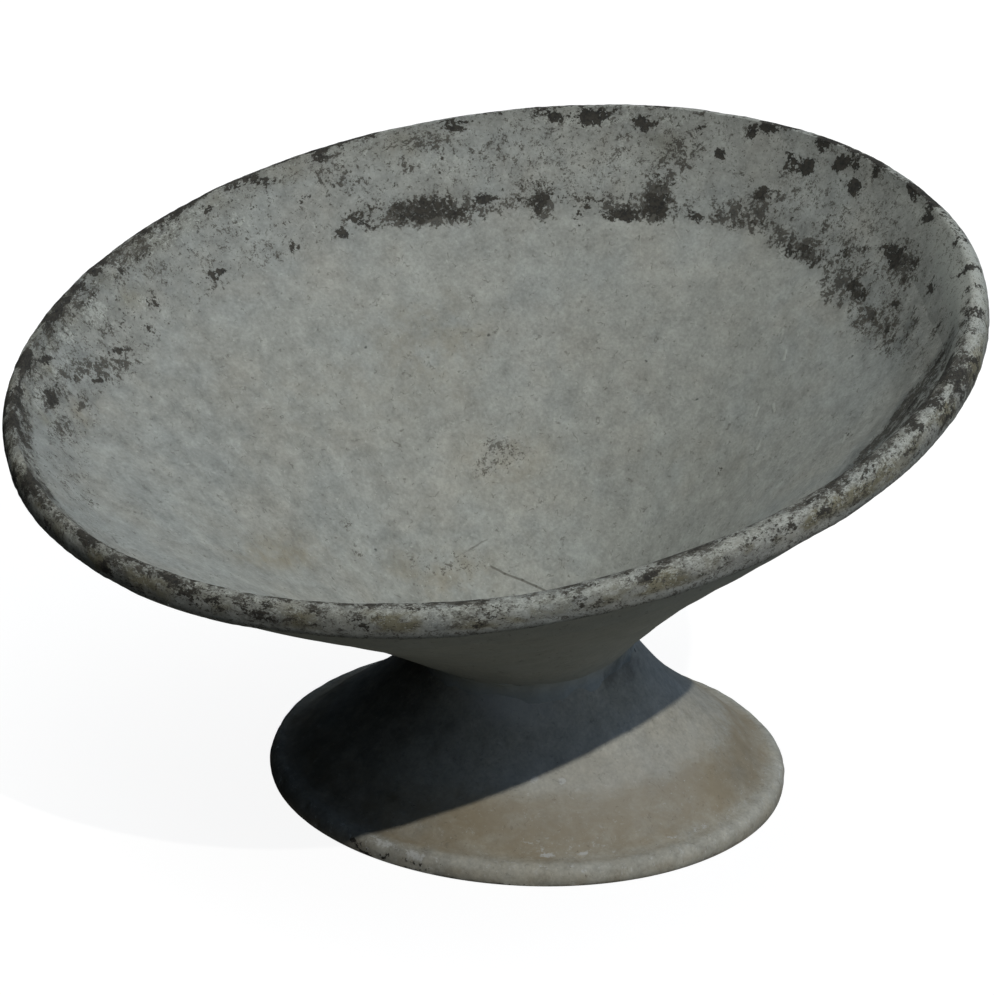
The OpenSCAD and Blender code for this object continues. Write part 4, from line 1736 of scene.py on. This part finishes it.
    def paint_foot(self, mesh: Mesh, points: Array) -> None:
        """Paints the foot's soil, flecks and chips, and its painted shade and light: shade on the side away
        from the key light, by the neck and low on the edge, light by the neck and across the lit front.

        Args:
            mesh: the mesh.
            points: its points, before they were moved.
        """
        r, height = np.hypot(points[:, 0], points[:, 1]), points[:, 2]
        turned = np.degrees(np.arctan2(points[:, 1], points[:, 0])) % 360
        edge = self.radius
        # The foot of the edge's upright face, which brown growth and painted shade darken: little light
        # reaches it from below.
        low = ease(height, 0.007, 0.003) * ease(r, edge - 0.020, edge - 0.016)
        face = ease(height, 0.017, 0.009) * ease(r, edge - 0.010, edge - 0.006)
        channel = hump(r, edge - 0.036, 0.044) * ease(r, edge - 0.008, edge - 0.016)
        rubbed_shoulder = ease(r, edge - 0.016, edge - 0.004)
        soil = self.patched(points, FOOT_SOIL, 0.50 * channel + 0.08)
        soil = soil * (1 - 0.55 * rubbed_shoulder) + 0.30 * face
        # Painted shade: the side of the foot away from the key light, under the dish, is darkened.
        shaded = hump(turned, 245, 72) * (1 - low)
        # Painted light: a pale film by the neck, on the shaded front, that stands in for more fill light
        # there.
        lime_and_painted_light = ease(r, 0.135, 0.105) * hump(turned, 300, 50)
        # Painted shade by the neck, on its right, in the dish's shadow.
        neck_painted_shade = ease(r, 0.125, 0.095) * hump(turned, 20, 36)
        # Painted light: paler across the front of the foot, where the key light falls.
        paler_lit_front = 0.20 * hump((turned + 90) % 360, 75, 80) * hump(r, 0.17, 0.07)
        darker = 0.3 * hump(turned, 28, 40) * face + 0.28 * hump(turned, 36, 30) * hump(r, 0.205, 0.034)
        painted = {
            Paint.SOIL: soil,
            Paint.BLEACH: self.patched(points, FOOT_FLECKS, 0.22 * hump(r, edge - 0.006, 0.010) - 0.1),
            Paint.CRUST: self.patched(points, FOOT_CHIPS, np.full(len(points), UNPAINTED)),
            Paint.GROWTH: 0.62 * low + UNPAINTED,
            Paint.SPECKS: 0.12 * hump(r, 0.24, 0.03) - 0.20,
            Paint.DAMP_AND_SHADE: 0.3 * low + 0.9 * shaded + 0.85 * neck_painted_shade - 0.75 * lime_and_painted_light - paler_lit_front + darker,
        }
        for what, values in painted.items():
            paint(mesh, what.value, values)
        lifted = self.streak * np.maximum(r - self.streak_radius, 0)
        paint(mesh, LIE, points + lifted[:, None] * np.array([0, 0, 1]))

    @staticmethod
    def patched(points: Array, patches: Sequence[FootPatch], ground: Array) -> Array:
        """Works out how densely a list of patches covers each point of the foot.

        Args:
            points: the points.
            patches: the patches.
            ground: what is there between the patches.

        Returns:
            The density at each point.
        """
        covered = ground
        r = np.hypot(points[:, 0], points[:, 1])
        bearing = np.arctan2(points[:, 1], points[:, 0])
        for patch in patches:
            turned = (bearing - math.radians(patch.bearing) + math.pi) % (2 * math.pi) - math.pi
            reach = np.hypot(turned * patch.radius / patch.around, (r / MM - patch.radius) / patch.along)
            covered = cover(covered, patch.amount, ease(reach, 1.8, 0.5))
        return covered

    def build(self) -> None:
        """Builds the foot's sheet, its strip and its mortar and dresses them."""
        # The foot's pale tone is also what the painted light by its neck and across its lit front is mixed
        # towards.
        cement = CementFinish("foot_cement", base=tone(180, 178, 165), cool=tone(170, 173, 167),
                              warm=tone(180, 172, 150), soil=tone(150, 137, 111), soil_break=1.7,
                              pale=tone(205, 207, 203), pit_share=0.06, fibres=0.25, grain=0.85, relief=0.5)
        mortar = CementFinish("neck_mortar", base=tone(172, 178, 174), cool=tone(162, 171, 172),
                              warm=tone(174, 171, 157), pit_share=0.03, fibres=0.1, grain=0.45, relief=0.35)
        finish = cement.material()
        place_piece(self.sheet_mesh(), finish, ("foot_shell",))
        place_piece(self.strip_mesh(), finish, ("foot_edge",))
        mortar_finish = mortar.material()
        place_piece(self.mortar_mesh(), mortar_finish, ("neck_fillet_outer",))
        for name in ("neck_bed", "neck_fillet_inner"):
            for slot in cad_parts[name].material_slots:
                slot.material = mortar_finish


# ---- the studio --------------------------------------------------------------------------------------


@dataclass
class Studio:
    """A plain pale floor, a soft key light, a weak fill and the camera."""

    camera_azimuth: float = 48.8
    camera_elevation: float = 23.3
    camera_roll: float = 2.3
    camera_distance: float = 4.8
    camera_lens: float = 187.7
    look_at: tuple[float, float, float] = (-0.0251, -0.0296, 0.2777)
    key_azimuth: float = 78.3
    key_elevation: float = 46.7
    key_strength: float = 1.36
    key_softness: float = 0.7
    open_side: float = 135.0            # the azimuth of the side that more light comes from
    overhead: tuple[float, float] = (315.0, 88.0)       # azimuth and elevation of the bright patch above
    sky_above: Colour = (1.80, 1.86, 1.84, 1.0)
    sky_side: Colour = (0.135, 0.19, 0.30, 1.0)
    sky_dim: Colour = (0.004, 0.005, 0.005, 1.0)
    ground_bright: Colour = (0.18, 0.18, 0.16, 1.0)
    ground_dim: Colour = (0.006, 0.006, 0.006, 1.0)
    backdrop: Colour = (0.95, 0.95, 0.95, 1.0)
    key_colour: tuple[float, float, float] = (1.0, 0.97, 0.92)
    floor_radius: float = 14.0
    floor_sides: int = 96
    floor_tone: Colour = (0.16, 0.16, 0.16, 1.0)
    floor_glow: float = 0.92            # what the floor gives by itself, so that it takes only a light shadow

    @staticmethod
    def towards(azimuth: float, elevation: float) -> Vector:
        """The direction of a place seen from the object, with azimuth 0 at -Y."""
        a, e = math.radians(azimuth), math.radians(elevation)
        return Vector((math.sin(a) * math.cos(e), -math.cos(a) * math.cos(e), math.sin(e)))

    def build(self) -> None:
        """Sets up everything that isn't part of the planter."""
        self.floor()
        self.key()
        self.fill()
        self.camera()
        bpy.context.scene.view_settings.view_transform = "Standard"

    def floor(self) -> None:
        """Lays the floor, which is pale and takes only a light shadow."""
        reach, turns = self.floor_radius, np.arange(self.floor_sides) * 2 * math.pi / self.floor_sides
        rim = [(reach * math.cos(turn), reach * math.sin(turn), 0.0) for turn in turns]
        mesh = bpy.data.meshes.new("studio_floor")
        mesh.from_pydata(rim, [], [tuple(range(self.floor_sides))])
        floor = bpy.data.objects.new("studio_floor", mesh)
        bpy.context.scene.collection.objects.link(floor)
        made = bpy.data.materials.new("studio_floor")
        made.use_nodes = True
        shader = made.node_tree.nodes["Principled BSDF"]
        for name, value in (("Base Color", self.floor_tone), ("Roughness", 1.0), ("Specular IOR Level", 0.0),
                            ("Emission Color", (1, 1, 1, 1)), ("Emission Strength", self.floor_glow)):
            shader.inputs[name].default_value = value
        mesh.materials.append(made)
        floor.visible_diffuse = False
        floor.visible_glossy = False
        floor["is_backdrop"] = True

    def key(self) -> None:
        """Hangs the key light."""
        lamp = bpy.data.lights.new("key", "SUN")
        lamp.energy = self.key_strength
        lamp.angle = math.radians(self.key_softness)
        lamp.color = self.key_colour
        key = bpy.data.objects.new("key", lamp)
        key.rotation_mode = "QUATERNION"
        key.rotation_quaternion = self.towards(self.key_azimuth, self.key_elevation).to_track_quat("Z", "Y")
        bpy.context.scene.collection.objects.link(key)

    def fill(self) -> None:
        """Fills the shadows: cool from above and from one side, dim elsewhere, warmer from below."""
        world = bpy.data.worlds.new("studio_fill")
        bpy.context.scene.world = world
        world.use_nodes = True
        tree = Tree(world.node_tree)
        background = world.node_tree.nodes["Background"]
        way = tree.node("ShaderNodeTexCoord").outputs["Generated"]
        height = tree.node("ShaderNodeSeparateXYZ")
        tree.put(way, height.inputs[0])
        open_side = tree.vector("DOT_PRODUCT", way, tuple(self.towards(self.open_side, 0.0)), out="Value")
        opening = tree.math("MULTIPLY_ADD", open_side, 0.8, height.outputs[2])
        level = tree.mix(tree.ease(opening, 0.1, 0.8), self.sky_dim, self.sky_side)
        overhead = tree.vector("DOT_PRODUCT", way, tuple(self.towards(*self.overhead)), out="Value")
        sky = tree.mix(tree.ease(overhead, 0.75, 0.97), level, self.sky_above)
        ground = tree.mix(tree.ease(open_side, -0.7, 0.6), self.ground_dim, self.ground_bright)
        fill = tree.mix(tree.ease(height.outputs[2], -0.05, 0.05), ground, sky)
        seen = tree.node("ShaderNodeLightPath").outputs["Is Camera Ray"]
        tree.put(tree.mix(seen, fill, self.backdrop), background.inputs["Color"])

    def camera(self) -> None:
        """Sets up the camera."""
        lens = bpy.data.cameras.new("camera")
        lens.lens = self.camera_lens
        lens.sensor_width = 36.0
        lens.clip_end = 60.0
        camera = bpy.data.objects.new("camera", lens)
        back = self.towards(self.camera_azimuth, self.camera_elevation)
        camera.location = Vector(self.look_at) + back * self.camera_distance
        turn = (-back).to_track_quat("-Z", "Y").to_matrix().to_4x4()
        camera.matrix_world = (Matrix.Translation(camera.location) @ turn
                               @ Matrix.Rotation(math.radians(self.camera_roll), 4, "Z"))
        bpy.context.scene.collection.objects.link(camera)
        bpy.context.scene.camera = camera


def corners() -> list[list[float]]:
    """The lowest and highest corners of what is shown, as plain lists."""
    return [list(corner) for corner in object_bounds()]


def main() -> None:
    """Builds the planter and its studio."""
    logging.basicConfig(level=logging.INFO, format="%(name)s: %(message)s")
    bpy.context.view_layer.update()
    dish = Dish()
    dish.build()
    Foot(dish).build()
    Studio().build()


if __name__ == "__main__":
    main()
